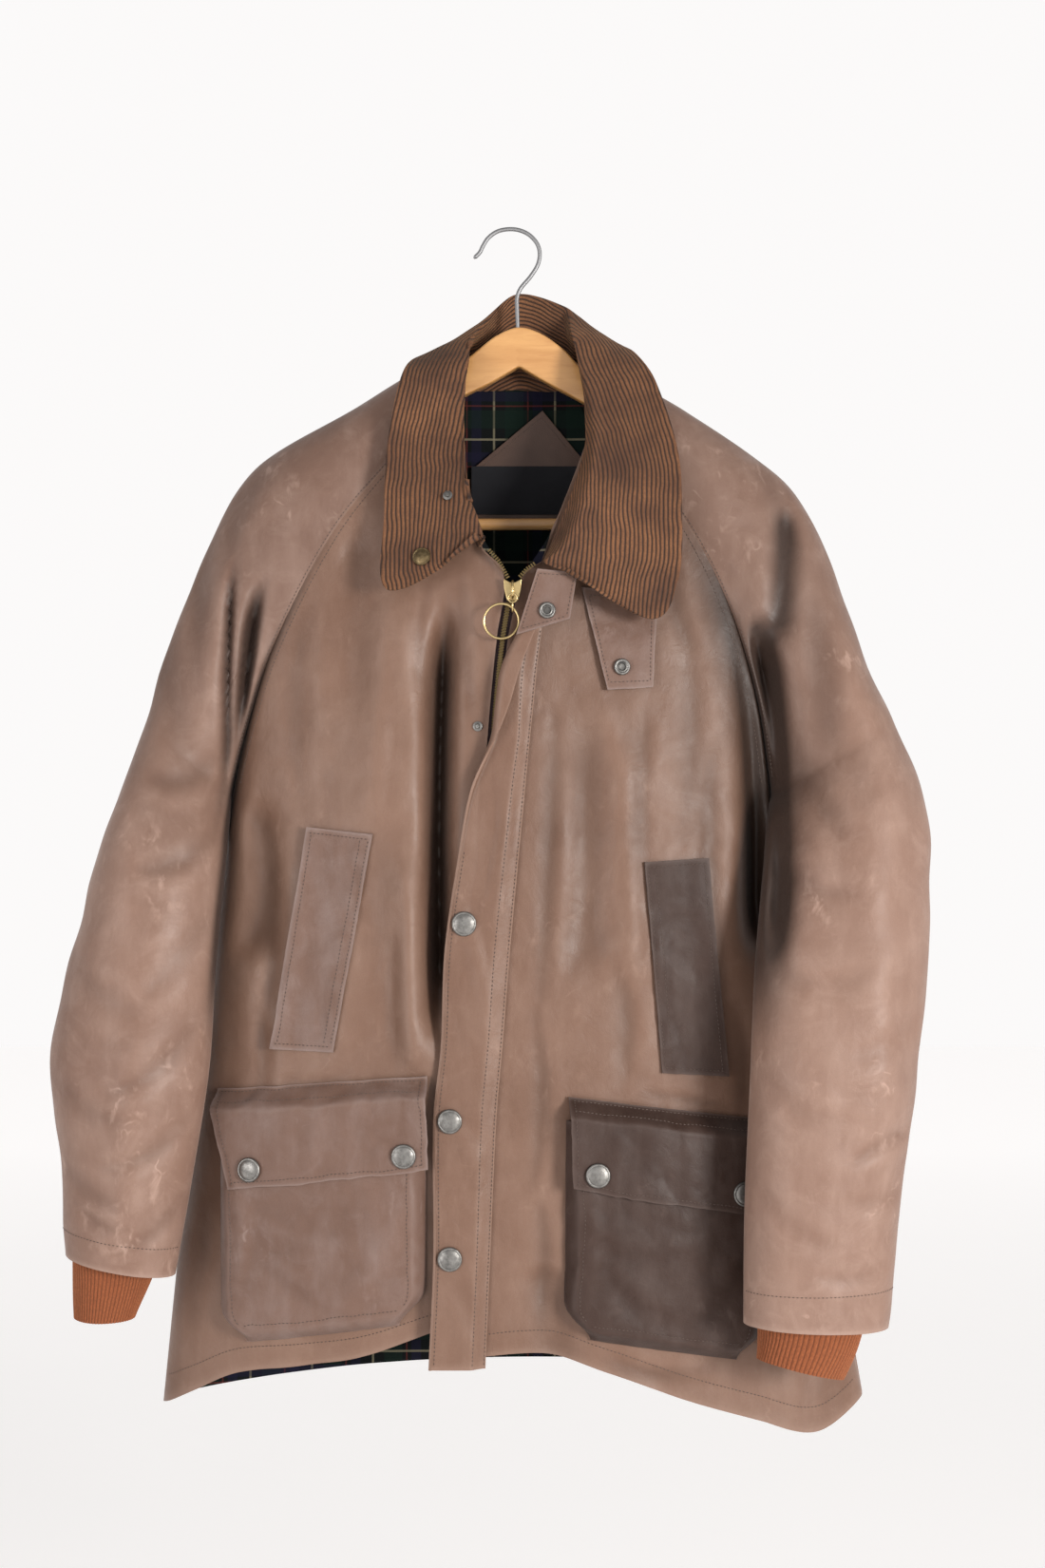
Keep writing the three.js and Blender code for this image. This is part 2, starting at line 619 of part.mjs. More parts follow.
// A four-cornered piece on a front panel. Corners: top left, top right, bottom right, bottom left, as x, z
function spot(corners, u, v) {
  const [a, b, c, d] = corners;
  return [mix(mix(a[0], b[0], u), mix(d[0], c[0], u), v), mix(mix(a[1], b[1], u), mix(d[1], c[1], u), v)];
}
const frontPatch = (panel, corners, out, columns, rows, thickness) => wallGeometry((u, v) => {
  const [x, z] = spot(corners, u, v);
  return onFront(panel, x, z, out(u, v));
}, columns, rows, -thickness);

// Hand-warmer welts
const LEFT_WELT = [[-166, -501], [-113, -506], [-145, -683], [-195, -681]];
const RIGHT_WELT = [[106, -529], [158, -526], [175, -704], [121, -700]];
const WELT_LIFT = 3;
const weltOut = (open) => (u) => LAY + 0.3 + FLAP_CLOTH + WELT_LIFT * smooth(0.4, 0, Math.abs(u - open));
add('welt_left', frontPatch(LEFT, LEFT_WELT, weltOut(0), 4, 8, FLAP_CLOTH), WAX_DARK);
add('welt_right', frontPatch(RIGHT, RIGHT_WELT, weltOut(1), 4, 8, FLAP_CLOTH), WAX_DARK);

// Bellows pockets: corners as above, with round lower corners and a gusset down to the panel on three sides
const LEFT_POCKET = [[-239, -740], [-70, -724], [-70, -901], [-238, -924]];
const RIGHT_POCKET = [[43, -737], [203, -757], [203, -938], [42, -912]];
const POCKET_CORNER = 0.2;
const POCKET_CORNER_PULL = 0.13;
const GUSSET = 12;
const POCKET_WIDTH = 168;
const POCKET_HEIGHT = 180;

function pocketPoint(panel, corners, u, v) {
  const low = smooth(1 - POCKET_CORNER, 1, v) ** 2;
  const pulled = mix(u, 0.5 + (u - 0.5) * (1 - 2 * POCKET_CORNER_PULL), low);
  const [x, z] = spot(corners, pulled, v);
  const fromSide = (Math.min(u, 1 - u) * POCKET_WIDTH) / GUSSET;
  const fromBottom = ((1 - v) * POCKET_HEIGHT) / GUSSET;
  const out = POCKET_DEPTH * Math.sqrt(smooth(0, 1, fromSide) * smooth(0, 1, fromBottom));
  return onFront(panel, x, z, LAY + FLAP_CLOTH + out);
}
const edgeDense = (u) => mix(u, halfCosine(u), 0.9);
const pocketWall = (panel, corners) => wallGeometry(
  (u, v) => pocketPoint(panel, corners, edgeDense(u), 1 - (1 - v) ** 1.7), 10, 8, -FLAP_CLOTH);
add('pocket_left', pocketWall(LEFT, LEFT_POCKET), WAX_DARK);
add('pocket_right', pocketWall(RIGHT, RIGHT_POCKET), WAX_DARK);

// Pocket flaps, sewn above the pocket mouth and lying over it
const LEFT_FLAP = [[-241, -716], [-69, -700], [-67, -773], [-224, -795]];
const RIGHT_FLAP = [[45, -718], [199, -739], [192, -815], [48, -790]];
const FLAP_OVER = POCKET_DEPTH + 2 * FLAP_CLOTH + LAY;
const FLAP_RISE = 0.22;
const FLAP_SEAM = 1.3;
const flapOut = (u, v) => LAY + FLAP_SEAM + FLAP_CLOTH + (FLAP_OVER - FLAP_CLOTH) * smooth(0, FLAP_RISE, v);
const flapWall = (panel, corners) => frontPatch(panel, corners, flapOut, 8, 6, FLAP_CLOTH);
add('flap_left', flapWall(LEFT, LEFT_FLAP), WAX_DARK);
add('flap_right', flapWall(RIGHT, RIGHT_FLAP), WAX_DARK);

// Storm fly: sewn down its right edge, open on the left. Its top is folded back towards the front.
// Columns: z, seam x, fold x, free edge x, depth
const FLY = [
  [-938, -22, -66, -66, -83],
  [-846, -18, -62, -62, -84],
  [-735, -13, -62, -62, -85],
  [-676, -8, -56, -56, -85],
  [-600, -2, -53, -53, -85],
  [-524, 5, -42, -42, -85],
  [-471, 10, -32, -31, -85],
  [-429, 14, -16, -11, -84],
  [-401, 17, -12, 0, -83.5],
  [-371, 20, -7, 9, -83.5],
  [-338, 24, 9, 22, -83.5],
];
const FLY_TOP = -338;
const FLY_BOTTOM = -938;
const FLY_FOLD_RADIUS = 4;
const FLY_EDGE_RADIUS = 1.2;
const flyRadius = (z) => mix(FLY_EDGE_RADIUS, FLY_FOLD_RADIUS, smooth(-500, -440, z));

function flyPoint(u, z) {
  const [, seam, fold, free, y] = rowAt(FLY, z);
  const first = seam - fold;
  const way = u * (first + Math.max(0, free - fold));
  const radius = flyRadius(z);
  const arc = Math.PI * radius;
  const angle = clamp01((way - first + arc / 2) / arc) * Math.PI;
  const past = Math.max(0, way - first - arc / 2);
  const x = angle > 0
    ? fold + radius * (1 - Math.sin(angle)) + past
    : seam - way * ((first - radius) / (first - arc / 2));
  const lying = mix(rightDepth(seam, z) - LAY - CLOTH, y, smooth(0, 0.3, u));
  return V(x, lying - radius * (1 - Math.cos(angle)), z);
}
add('storm_fly', wallGeometry((u, v) => flyPoint(u, mix(FLY_TOP, FLY_BOTTOM, v)), 10, 16, CLOTH), WAX);

// The fly's top corner, turned over, and the throat tab under the right collar leaf
const FLY_TAB = [[20, -293], [52, -296], [46, -333], [3, -346]];
const FLY_TAB_DEPTH = [-92, -89, -95.5, -96.5];
const THROAT_TAB = [[56, -306], [118, -312], [113, -387], [76, -390]];
const THROAT_SEAT = 0.7;
const THROAT_OUT = 4;
const tabPoint = (u, v) => {
  const [x, z] = spot(FLY_TAB, u, v);
  const [a, b, c, d] = FLY_TAB_DEPTH;
  return V(x, mix(mix(a, b, u), mix(d, c, u), v), z);
};
add('fly_tab', wallGeometry(tabPoint, 4, 4, -FLAP_CLOTH), WAX_DARK);
const throatOut = (v) => FLAP_CLOTH + mix(THROAT_SEAT, THROAT_OUT, smooth(0.1, 0.6, v));
add('throat_tab', frontPatch(RIGHT, THROAT_TAB, (u, v) => throatOut(v), 4, 6, FLAP_CLOTH), WAX_DARK);

// Zip: two tapes behind the front edges, the closed chain, the open teeth above the slider
const SLIDER_BOTTOM = -318;
const CHAIN_BOTTOM = -900;
const CHAIN_DEPTH = -78.6;
const tapeWall = (panel) => wallGeometry((u, v) => {
  const z = mix(SLIDER_BOTTOM + 12, CHAIN_BOTTOM, v);
  const x = zipX(z) + panel.side * mix(0.4, TAPE_WIDTH, u);
  return V(x, panelAt(panel, x, z) + CLOTH + 3 * LAY, z);
}, 1, 10, -panel.side * TAPE_THICKNESS);
add('zip_tape_left', tapeWall(LEFT), TAPE);
add('zip_tape_right', tapeWall(RIGHT), TAPE);
add('zip_chain', wallGeometry((u, v) => {
  const z = mix(SLIDER_BOTTOM - SEAM_GAP, CHAIN_BOTTOM, v);
  return V(zipX(z) + (u - 0.5) * CHAIN_WIDTH, CHAIN_DEPTH, z);
}, 1, 14, -CHAIN_THICKNESS), BRASS);
const teeth = (top, bottom) => wallGeometry((u, v) => {
  const x = mix(top[0], bottom[0], v);
  return V(x + (u - 0.5) * CHAIN_WIDTH * 0.6, mix(top[1], bottom[1], v), mix(top[2], bottom[2], v));
}, 1, 3, -CHAIN_THICKNESS);
add('zip_teeth_left', teeth([-19, -81.1, -276], [-3.2, -79.6, -298.5]), BRASS);
add('zip_teeth_right', teeth([18, -82, -287], [5, -80.5, -298.5]), BRASS);

// Round parts turned about their own axis and set square to a surface
function turned(name, profile, segments, place, normal, material) {
  const points = profile.map(([r, h]) => new THREE.Vector2(r, h));
  const mesh = add(name, new THREE.LatheGeometry(points, segments), material);
  mesh.position.copy(place).addScaledVector(normal, CAP_GAP);
  mesh.quaternion.setFromUnitVectors(V(0, 1, 0), normal);
}
const domed = (diameter, height) => [
  [0, 0],
  [diameter / 2 - 0.6, 0],
  [diameter / 2, height * 0.35],
  [diameter / 2 - 1.6, height * 0.85],
  [0, height],
];
const cupped = (diameter, height) => [
  [0, 0],
  [diameter / 2, 0],
  [diameter / 2, height * 0.5],
  [diameter / 2 - 1.4, height],
  [diameter / 4, height],
  [diameter / 4 - 0.6, height * 0.4],
  [0, height * 0.4],
];
// The point of a surface at a, b, and the way that it faces towards the front
function squareTo(surface, a, b, da, db) {
  const across = surface(a + da, b).sub(surface(a - da, b));
  const normal = across.cross(surface(a, b + db).sub(surface(a, b - db))).normalize();
  return [surface(a, b), normal.y > 0 ? normal.negate() : normal];
}

// Snap caps on the fly and the flaps
const FLY_CAP_HEIGHTS = [-578, -737, -848];
const CAP_FROM_EDGE = 12;
FLY_CAP_HEIGHTS.forEach((z, i) => {
  const [, seam, fold] = rowAt(FLY, z);
  const u = 1 - CAP_FROM_EDGE / (seam - fold);
  const place = squareTo(flyPoint, u, z, 0.15, 8);
  turned(`fly_cap_${i + 1}`, domed(CAP_DIAMETER, CAP_HEIGHT), 12, ...place, PEWTER);
});
const FLAP_CAPS = [
  ['flap_cap_left_1', LEFT, LEFT_FLAP, 0.13, 0.82],
  ['flap_cap_left_2', LEFT, LEFT_FLAP, 0.88, 0.82],
  ['flap_cap_right_1', RIGHT, RIGHT_FLAP, 0.14, 0.8],
  ['flap_cap_right_2', RIGHT, RIGHT_FLAP, 0.93, 0.8],
];
FLAP_CAPS.forEach(([name, panel, corners, u, v]) => {
  const [x, z] = spot(corners, u, v);
  const place = onFront(panel, x, z, flapOut(u, v));
  const normal = place.clone().sub(onFront(panel, x, z, 0)).normalize();
  turned(name, domed(CAP_DIAMETER, CAP_HEIGHT), 12, place, normal, PEWTER);
});

// Socket snaps on the two tabs, and a stud on the left front
const THROAT_SOCKET = [88, -371];
const FRONT_STUD = [-28, -419];
const onPanel = (panel, out) => (x, z) => onFront(panel, x, z, out);
const onThroatTab = onPanel(RIGHT, throatOut(1));
const socket = cupped(SOCKET_DIAMETER, SOCKET_HEIGHT);
const stud = domed(STUD_DIAMETER, STUD_HEIGHT);
turned('fly_tab_socket', socket, 12, ...squareTo(tabPoint, 0.5, 0.72, 0.1, 0.1), PEWTER);
turned('throat_tab_socket', socket, 12, ...squareTo(onThroatTab, ...THROAT_SOCKET, 6, 6), PEWTER);
turned('front_stud', stud, 10, ...squareTo(onPanel(LEFT, SEAM_GAP - LAY), ...FRONT_STUD, 4, 4), PEWTER);

// The collar's stud and its plain round pin: way across the collar and way round it
const COLLAR_STUD = [0.72, 0.17];
const COLLAR_PIN = [0.86, 0.1];
const overWales = (u, t) => collarPoint(u, t).add(V(0, -WALE_HEIGHT + SEAM_GAP / 2, 0));
const pin = domed(PIN_DIAMETER, PIN_HEIGHT);
turned('collar_stud', stud, 10, ...squareTo(overWales, ...COLLAR_STUD, 0.03, 0.02), PEWTER);
turned('collar_pin', pin, 14, ...squareTo(overWales, ...COLLAR_PIN, 0.05, 0.02), BRASS);

// Joins closed solids into one
async function joined(geometries) {
  const wasm = await Module();
  wasm.setup();
  const solids = geometries.map((source) => {
    const bare = source.clone();
    bare.deleteAttribute('normal');
    bare.deleteAttribute('uv');
    const merged = mergeVertices(bare, 1e-4);
    return new wasm.Manifold(new wasm.Mesh({
      numProp: 3,
      vertProperties: new Float32Array(merged.attributes.position.array),
      triVerts: new Uint32Array(merged.index.array),
    }));
  });
  const mesh = solids.reduce((whole, solid) => whole.add(solid)).getMesh();
  const geometry = new THREE.BufferGeometry();
  geometry.setAttribute('position', new THREE.BufferAttribute(mesh.vertProperties, 3));
  geometry.setIndex(new THREE.BufferAttribute(mesh.triVerts, 1));
  geometry.computeVertexNormals();
  return geometry;
}

// Slider with its eye, the link through the eye, and the pull ring through the link
const SLIDER_SHAPE = [[-7.5, -300], [-7, -308], [-4.5, -318], [4.5, -318], [7, -308], [7.5, -300],
  [2, -303], [-2, -303]];
const SLIDER_THICKNESS = 3.6;
const SLIDER_BACK = -78.9;
const EYE_RADIUS = 3.6;
const EYE_WIRE = 1.4;
const EYE_CENTRE = V(0, -87, -316);
const LINK_RADIUS = 3.3;
const LINK_STRETCH = 1.5;
const LINK_WIRE = 1.3;
const LINK_CENTRE = V(0, -87, -322.3);
const RING_CENTRE = V(-9, -87, -334.7);

const sliderShape = new THREE.Shape(SLIDER_SHAPE.map(([x, z]) => new THREE.Vector2(x, z)));
const plate = new THREE.ExtrudeGeometry(sliderShape, { depth: SLIDER_THICKNESS, bevelEnabled: false });
plate.rotateX(Math.PI / 2);
plate.translate(0, SLIDER_BACK, 0);
const eye = new THREE.TorusGeometry(EYE_RADIUS, EYE_WIRE / 2, 6, 16);
eye.rotateX(Math.PI / 2);
eye.translate(...EYE_CENTRE.toArray());
const post = new THREE.BoxGeometry(3, 5, 3);
post.translate(0, -84.4, EYE_CENTRE.z + EYE_RADIUS + 0.4);
add('zip_slider', await joined([plate, post, eye]), BRASS);

const link = new THREE.TorusGeometry(LINK_RADIUS, LINK_WIRE / 2, 6, 16);
link.rotateY(Math.PI / 2);
link.scale(1, 1, LINK_STRETCH);
add('zip_link', link, BRASS).position.copy(LINK_CENTRE);
const ring = new THREE.TorusGeometry((RING_OUTER - RING_WIRE) / 2, RING_WIRE / 2, 6, 26);
ring.rotateX(Math.PI / 2);
add('zip_ring', ring, BRASS).position.copy(RING_CENTRE);

// Back lining, seen through the neck and under the hem, with the neck facing and the bare label on it
const LINING_FROM = 0.3;
const LINING_TO = 17.6;
const LINING_EDGE = 0.14;
const LINING_DEPTH = 8;
add('back_lining', wallGeometry((u, v) => {
  const place = backPoint(mix(LINING_EDGE, 1 - LINING_EDGE, halfCosine(u)), mix(LINING_FROM, LINING_TO, v));
  return place.add(V(0, -mix(CLOTH + LAY, LINING_DEPTH, smooth(0, 0.12, v)), 0));
}, 8, 12, LINING_CLOTH), LINING);

const NECK_FACING = [[25, -148], [-36, -199], [-36, -243], [63, -243], [63, -194]];
const FACING_THICKNESS = 0.9;
const FACING_DEPTH = 19.7;
const LABEL_WIDTH = 98;
const LABEL_HEIGHT = 41;
const LABEL_THICKNESS = 0.6;
const LABEL_DEPTH = FACING_DEPTH - FACING_THICKNESS - SEAM_GAP - LABEL_THICKNESS / 2;
const LABEL_CENTRE = V(13.5, LABEL_DEPTH, -216);
const facingShape = new THREE.Shape(NECK_FACING.map(([x, z]) => new THREE.Vector2(x, z)));
const facing = new THREE.ExtrudeGeometry(facingShape, { depth: FACING_THICKNESS, bevelEnabled: false });
facing.rotateX(Math.PI / 2);
add('neck_facing', facing, FACING).position.y = FACING_DEPTH;
const label = new THREE.BoxGeometry(LABEL_WIDTH, LABEL_THICKNESS, LABEL_HEIGHT);
add('neck_label', label, LABEL).position.copy(LABEL_CENTRE);

// Hanger: wooden shoulders, trouser bar between their ends, steel wire hook
const WOOD_TOP = [[-220, -232], [-216, -212], [-196, -195], [-170, -178], [-134, -158], [-93, -140],
  [-57, -122], [-36, -106], [-14, -89], [4, -82], [21, -86], [42, -100], [62, -120], [97, -140],
  [144, -162], [172, -178], [198, -196], [216, -212], [220, -232]];
const WOOD_UNDER = [[218, -252], [208, -258], [197, -251], [190, -228], [150, -199], [64, -148],
  [30, -128], [5, -115], [-20, -128], [-38, -138], [-150, -200], [-190, -228], [-197, -251],
  [-208, -258], [-218, -252]];
const WOOD_BEVEL = 1.5;
const WOOD_CURVE_POINTS = 24;
const BAR_HEIGHT = -247;
const BAR_REACH = 194;
const HOOK_PATH = [[4, -81.6], [3.5, -66], [3.5, -56], [6, -49], [15, -38], [21, -28], [22.5, -19],
  [20.5, -11], [14, -3.5], [6, 0.5], [-3, 1.6], [-13, -0.3], [-21, -6], [-25.5, -13], [-28, -18],
  [-33, -23]];

const woodShape = new THREE.Shape();
woodShape.moveTo(...WOOD_TOP[0]);
woodShape.splineThru(WOOD_TOP.slice(1).map(([x, z]) => new THREE.Vector2(x, z)));
woodShape.splineThru(WOOD_UNDER.map(([x, z]) => new THREE.Vector2(x, z)));
const wood = new THREE.ExtrudeGeometry(
  new THREE.Shape(woodShape.getSpacedPoints(2 * WOOD_CURVE_POINTS)),
  { depth: WOOD_THICKNESS - 2 * WOOD_BEVEL, bevelSize: WOOD_BEVEL, bevelThickness: WOOD_BEVEL, bevelSegments: 1,
    bevelOffset: -WOOD_BEVEL },
);
wood.rotateX(Math.PI / 2);
add('hanger_wood', wood, WOOD).position.y = WOOD_THICKNESS / 2 - WOOD_BEVEL;
const bar = new THREE.CylinderGeometry(BAR_DIAMETER / 2, BAR_DIAMETER / 2, 2 * BAR_REACH, 14);
bar.rotateZ(Math.PI / 2);
add('hanger_bar', bar, WOOD).position.z = BAR_HEIGHT;
const hookCurve = new THREE.CatmullRomCurve3(HOOK_PATH.map(([x, z]) => V(x, 0, z)));
const wireSection = new THREE.Shape();
wireSection.absarc(0, 0, HOOK_WIRE / 2, 0, 2 * Math.PI);
const hook = new THREE.ExtrudeGeometry(wireSection, { steps: 30, curveSegments: 4, extrudePath: hookCurve });
add('hanger_hook', hook, STEEL);

export default group;
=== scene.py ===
import math
import bpy
import numpy as np
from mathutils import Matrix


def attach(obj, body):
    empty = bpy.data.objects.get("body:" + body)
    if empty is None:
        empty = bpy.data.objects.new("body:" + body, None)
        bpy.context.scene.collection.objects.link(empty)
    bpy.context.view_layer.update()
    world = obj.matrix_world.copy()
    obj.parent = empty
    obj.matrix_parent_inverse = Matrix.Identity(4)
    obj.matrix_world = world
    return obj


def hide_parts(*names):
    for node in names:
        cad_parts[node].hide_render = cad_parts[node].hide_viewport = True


# A waxed cotton raglan jacket on a wooden hanger. Lengths are millimetres until a mesh is made.
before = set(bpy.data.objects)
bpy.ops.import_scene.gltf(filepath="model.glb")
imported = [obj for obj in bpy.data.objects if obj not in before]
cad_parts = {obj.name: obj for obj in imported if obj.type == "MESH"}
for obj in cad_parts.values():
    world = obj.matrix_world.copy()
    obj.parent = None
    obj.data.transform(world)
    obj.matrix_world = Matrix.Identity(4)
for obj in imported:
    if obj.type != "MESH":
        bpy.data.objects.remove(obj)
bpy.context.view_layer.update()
MM = 0.001
GARMENT = "garment"
SEAM_GAP = 0.03
CLOTH = 2.0
FLAP_CLOTH = 1.8
LINING_CLOTH = 1.0
CORDUROY = 2.4
RIB_CLOTH = 2.2
RIB_HEIGHT = 0.8
LAY = 0.9
POCKET_DEPTH = 13


def mix(a, b, t):
    return a + (b - a) * t


def smooth(a, b, x):
    t = np.clip((np.asarray(x, float) - a) / (b - a), 0, 1)
    return t * t * (3 - 2 * t)


def xyz(x, y, z):
    return np.stack(np.broadcast_arrays(x, y, z), -1).astype(float)


def row_at(table, t):
    """Columns of a table at t, its first column, with a smooth curve between the rows"""
    rows = np.asarray(table, float)
    t = np.asarray(t, float)
    last = len(rows) - 1
    i = np.clip(np.searchsorted(rows[:, 0], t, side="left") - 1, 0, last - 1)
    before, a, b, after = (rows[np.clip(i + d, 0, last)] for d in (-1, 0, 1, 2))
    span = b[..., :1] - a[..., :1]
    s = np.clip((t[..., None] - a[..., :1]) / span, 0, 1)
    first, final = (i == 0)[..., None], (i == last - 1)[..., None]
    slope_a = np.where(first, b - a, (b - before) / np.where(first, 1, b[..., :1] - before[..., :1]) * span)
    slope_b = np.where(final, b - a, (after - a) / np.where(final, 1, after[..., :1] - a[..., :1]) * span)
    s2, s3 = s * s, s * s * s
    value = a * (2 * s3 - 3 * s2 + 1) + slope_a * (s3 - 2 * s2 + s)
    value = value + b * (3 * s2 - 2 * s3) + slope_b * (s3 - s2)
    return np.moveaxis(value, -1, 0)


def ripple(x, z, size, seed):
    """An uneven soft field from -1 to 1 with bumps about size across"""
    lattice = np.random.default_rng(seed).uniform(-1, 1, (48, 48))
    gx, gz = np.asarray(x) / size + 20, np.asarray(z) / size + 20
    i, j = np.floor(gx).astype(int), np.floor(gz).astype(int)
    fx, fz = smooth(0, 1, gx - i), smooth(0, 1, gz - j)
    near = mix(lattice[i % 48, j % 48], lattice[(i + 1) % 48, j % 48], fx)
    far = mix(lattice[i % 48, (j + 1) % 48], lattice[(i + 1) % 48, (j + 1) % 48], fx)
    return mix(near, far, fz)


def crease_depth(x, z, table):
    """Creases listed in a table. Columns: x, z at the start, middle and end, half width, depth inwards"""
    x, z = np.broadcast_arrays(np.asarray(x, float), np.asarray(z, float))
    total = np.zeros(x.shape)
    t = np.linspace(0, 1, 17)
    for xa, za, xm, zm, xb, zb, width, deep in table:
        cx = (1 - t) ** 2 * xa + 2 * t * (1 - t) * (2 * xm - (xa + xb) / 2) + t * t * xb
        cz = (1 - t) ** 2 * za + 2 * t * (1 - t) * (2 * zm - (za + zb) / 2) + t * t * zb
        pad = 3.5 * width
        near = (x > cx.min() - pad) & (x < cx.max() + pad) & (z > cz.min() - pad) & (z < cz.max() + pad)
        if not near.any():
            continue
        px, pz = x[near][:, None] - cx[:-1], z[near][:, None] - cz[:-1]
        dx, dz = np.diff(cx), np.diff(cz)
        along = np.clip((px * dx + pz * dz) / (dx * dx + dz * dz), 0, 1)
        off = np.hypot(px - along * dx, pz - along * dz)
        j = off.argmin(1)
        rows = np.arange(len(j))
        way = (j + along[rows, j]) / (len(t) - 1)
        side = np.sign(dx[j] * pz[rows, j] - dz[j] * px[rows, j])
        across = side * off[rows, j] / (width * (0.75 + 0.5 * np.sin(math.pi * way)))
        trough = np.exp(-across**2) - 0.4 * np.exp(-((across - 1.6) ** 2))
        total[near] += deep * np.sin(math.pi * way) ** 0.8 * trough
    return total


# The largest folds of the front. Columns: x and z at the top, middle and bottom, half width, depth
FOLDS = [
    (-54, -300, -60, -440, -60, -690, 10, 32),
    (-92, -500, -84, -600, -74, -720, 16, -9),
    (-122, -240, -128, -300, -126, -420, 20, 6),
    (-96, -300, -108, -400, -116, -520, 24, -8),
    (-212, -470, -206, -540, -220, -620, 15, 10),
    (-229, -270, -235, -400, -243, -520, 4, 9), (-204, -290, -222, -405, -242, -515, 6, 16),
    (-290, -640, -300, -740, -312, -840, 22, -6),
    (198, -320, 206, -440, 202, -620, 12, 38),
    (232, -225, 222, -300, 212, -360, 12, 9),
    (60, -400, 62, -520, 52, -640, 20, 7),
    (92, -420, 96, -520, 92, -640, 18, -6),
    (20, -860, 34, -900, 40, -960, 18, 6),
    (300, -400, 290, -560, 296, -760, 26, -6),
]
FOLD_TAPER = 0.22


def fold_depth(x, z):
    depth = np.zeros(np.broadcast(x, z).shape)
    for xa, za, xm, zm, xb, zb, half, deep in FOLDS:
        t = np.clip((z - za) / (zb - za), 0, 1)
        tm = (zm - za) / (zb - za)
        centre = mix(mix(xa, xb, t), 2 * xm - mix(xa, xb, tm), 2 * t * (1 - t))
        across = np.clip(np.abs(x - centre) / half, 0, 2.6)
        taper = smooth(0, FOLD_TAPER, t) * smooth(0, FOLD_TAPER, 1 - t)
        depth += deep * taper * np.exp(-across * across) * (across < 2.6)
    return depth


# Smaller creases of the fronts, in the same columns
FRONT_CREASES = [
    (-168, -300, -178, -400, -170, -500, 10, 2.2),
    (-200, -500, -196, -590, -206, -680, 8, 2.6),
    (-142, -540, -136, -620, -146, -700, 12, -2.0),
    (-100, -330, -96, -420, -104, -500, 7, 1.8),
    (-70, -300, -76, -360, -72, -430, 6, 2.4),
    (-44, -290, -40, -350, -34, -420, 5, 1.6),
    (-214, -640, -204, -690, -214, -730, 7, 2.2),
    (-250, -800, -262, -860, -266, -940, 9, 2.4),
    (-180, -930, -150, -944, -110, -938, 6, 1.6),
    (-90, -560, -98, -640, -90, -700, 7, 2.0),
    (34, -400, 30, -520, 22, -660, 7, 2.2),
    (76, -396, 80, -480, 72, -590, 9, -2.0),
    (110, -400, 104, -500, 112, -620, 8, 2.2),
    (138, -330, 146, -420, 140, -520, 9, 1.8),
    (168, -420, 160, -500, 166, -600, 8, 2.4),
    (80, -600, 92, -660, 84, -720, 8, 2.0),
    (16, -640, 24, -720, 14, -800, 6, 1.8),
    (20, -800, 26, -850, 20, -920, 6, 2.0),
    (120, -250, 128, -310, 150, -360, 8, 2.0),
    (180, -640, 190, -700, 184, -740, 7, 2.2),
    (70, -930, 110, -944, 170, -940, 6, 1.8),
    (232, -800, 244, -880, 240, -950, 9, 2.2),
    (-130, -700, -160, -708, -200, -704, 4, 1.2),
    (100, -716, 140, -722, 180, -730, 4, 1.2),
]
# Creases of the sleeves, front half then back half
SLEEVE_CREASES = [
    (-240, -440, -268, -462, -300, -456, 8, 3.4),
    (-240, -500, -268, -528, -306, -532, 8, 3.4),
    (-240, -560, -262, -600, -296, -640, 9, 2.8),
    (-366, -590, -330, -632, -286, -644, 10, 2.6),
    (-250, -640, -280, -690, -334, -712, 8, 3.0),
    (-374, -690, -345, -722, -300, -730, 9, 2.4),
    (-256, -724, -285, -757, -330, -770, 7, 2.8),
    (-364, -762, -340, -790, -300, -800, 7, 2.2),
    (-262, -790, -280, -818, -310, -834, 6, 2.2),
    (-310, -290, -284, -380, -266, -460, 14, 3.6),
    (-250, -250, -262, -330, -256, -400, 9, 4.0),
    (-334, -420, -320, -520, -326, -600, 18, -3.2),
    (-200, -200, -228, -240, -244, -300, 9, 2.4),
    (-346, -800, -330, -815, -300, -818, 5, 1.6),
    (205, -520, 235, -548, 276, -550, 9, 3.2),
    (200, -600, 232, -622, 280, -612, 10, 2.6),
    (330, -560, 300, -602, 262, -640, 11, -2.8),
    (326, -640, 296, -668, 250, -678, 9, 2.6),
    (196, -690, 225, -722, 268, -724, 9, 2.8),
    (324, -752, 300, -744, 262, -762, 6, 4.4),
    (322, -776, 296, -792, 258, -786, 8, 2.8),
    (190, -780, 220, -814, 258, -822, 8, 2.4),
    (302, -838, 270, -852, 230, -846, 6, 2.0),
    (240, -300, 252, -380, 240, -470, 12, 4.0),
    (262, -330, 288, -430, 300, -520, 16, -3.2),
    (225, -420, 240, -470, 264, -510, 9, 3.6),
    (200, -200, 224, -240, 236, -300, 9, 2.4),
    (288, -620, 300, -700, 292, -780, 12, -2.4),
]
SLEEVE_BACK_CREASES = [
    (-250, -300, -275, -380, -270, -460, 12, -3.4),
    (-245, -520, -280, -550, -320, -545, 9, -3.0),
    (-370, -610, -335, -650, -290, -640, 10, -2.8),
    (-255, -690, -290, -720, -340, -715, 8, -3.0),
    (-360, -770, -330, -790, -290, -785, 7, -2.4),
    (240, -310, 262, -390, 255, -470, 12, -3.4),
    (210, -540, 245, -565, 290, -560, 9, -3.0),
    (325, -640, 290, -672, 245, -665, 10, -2.8),
    (200, -730, 235, -760, 280, -752, 8, -3.0),
    (300, -820, 270, -835, 225, -830, 7, -2.4),
]

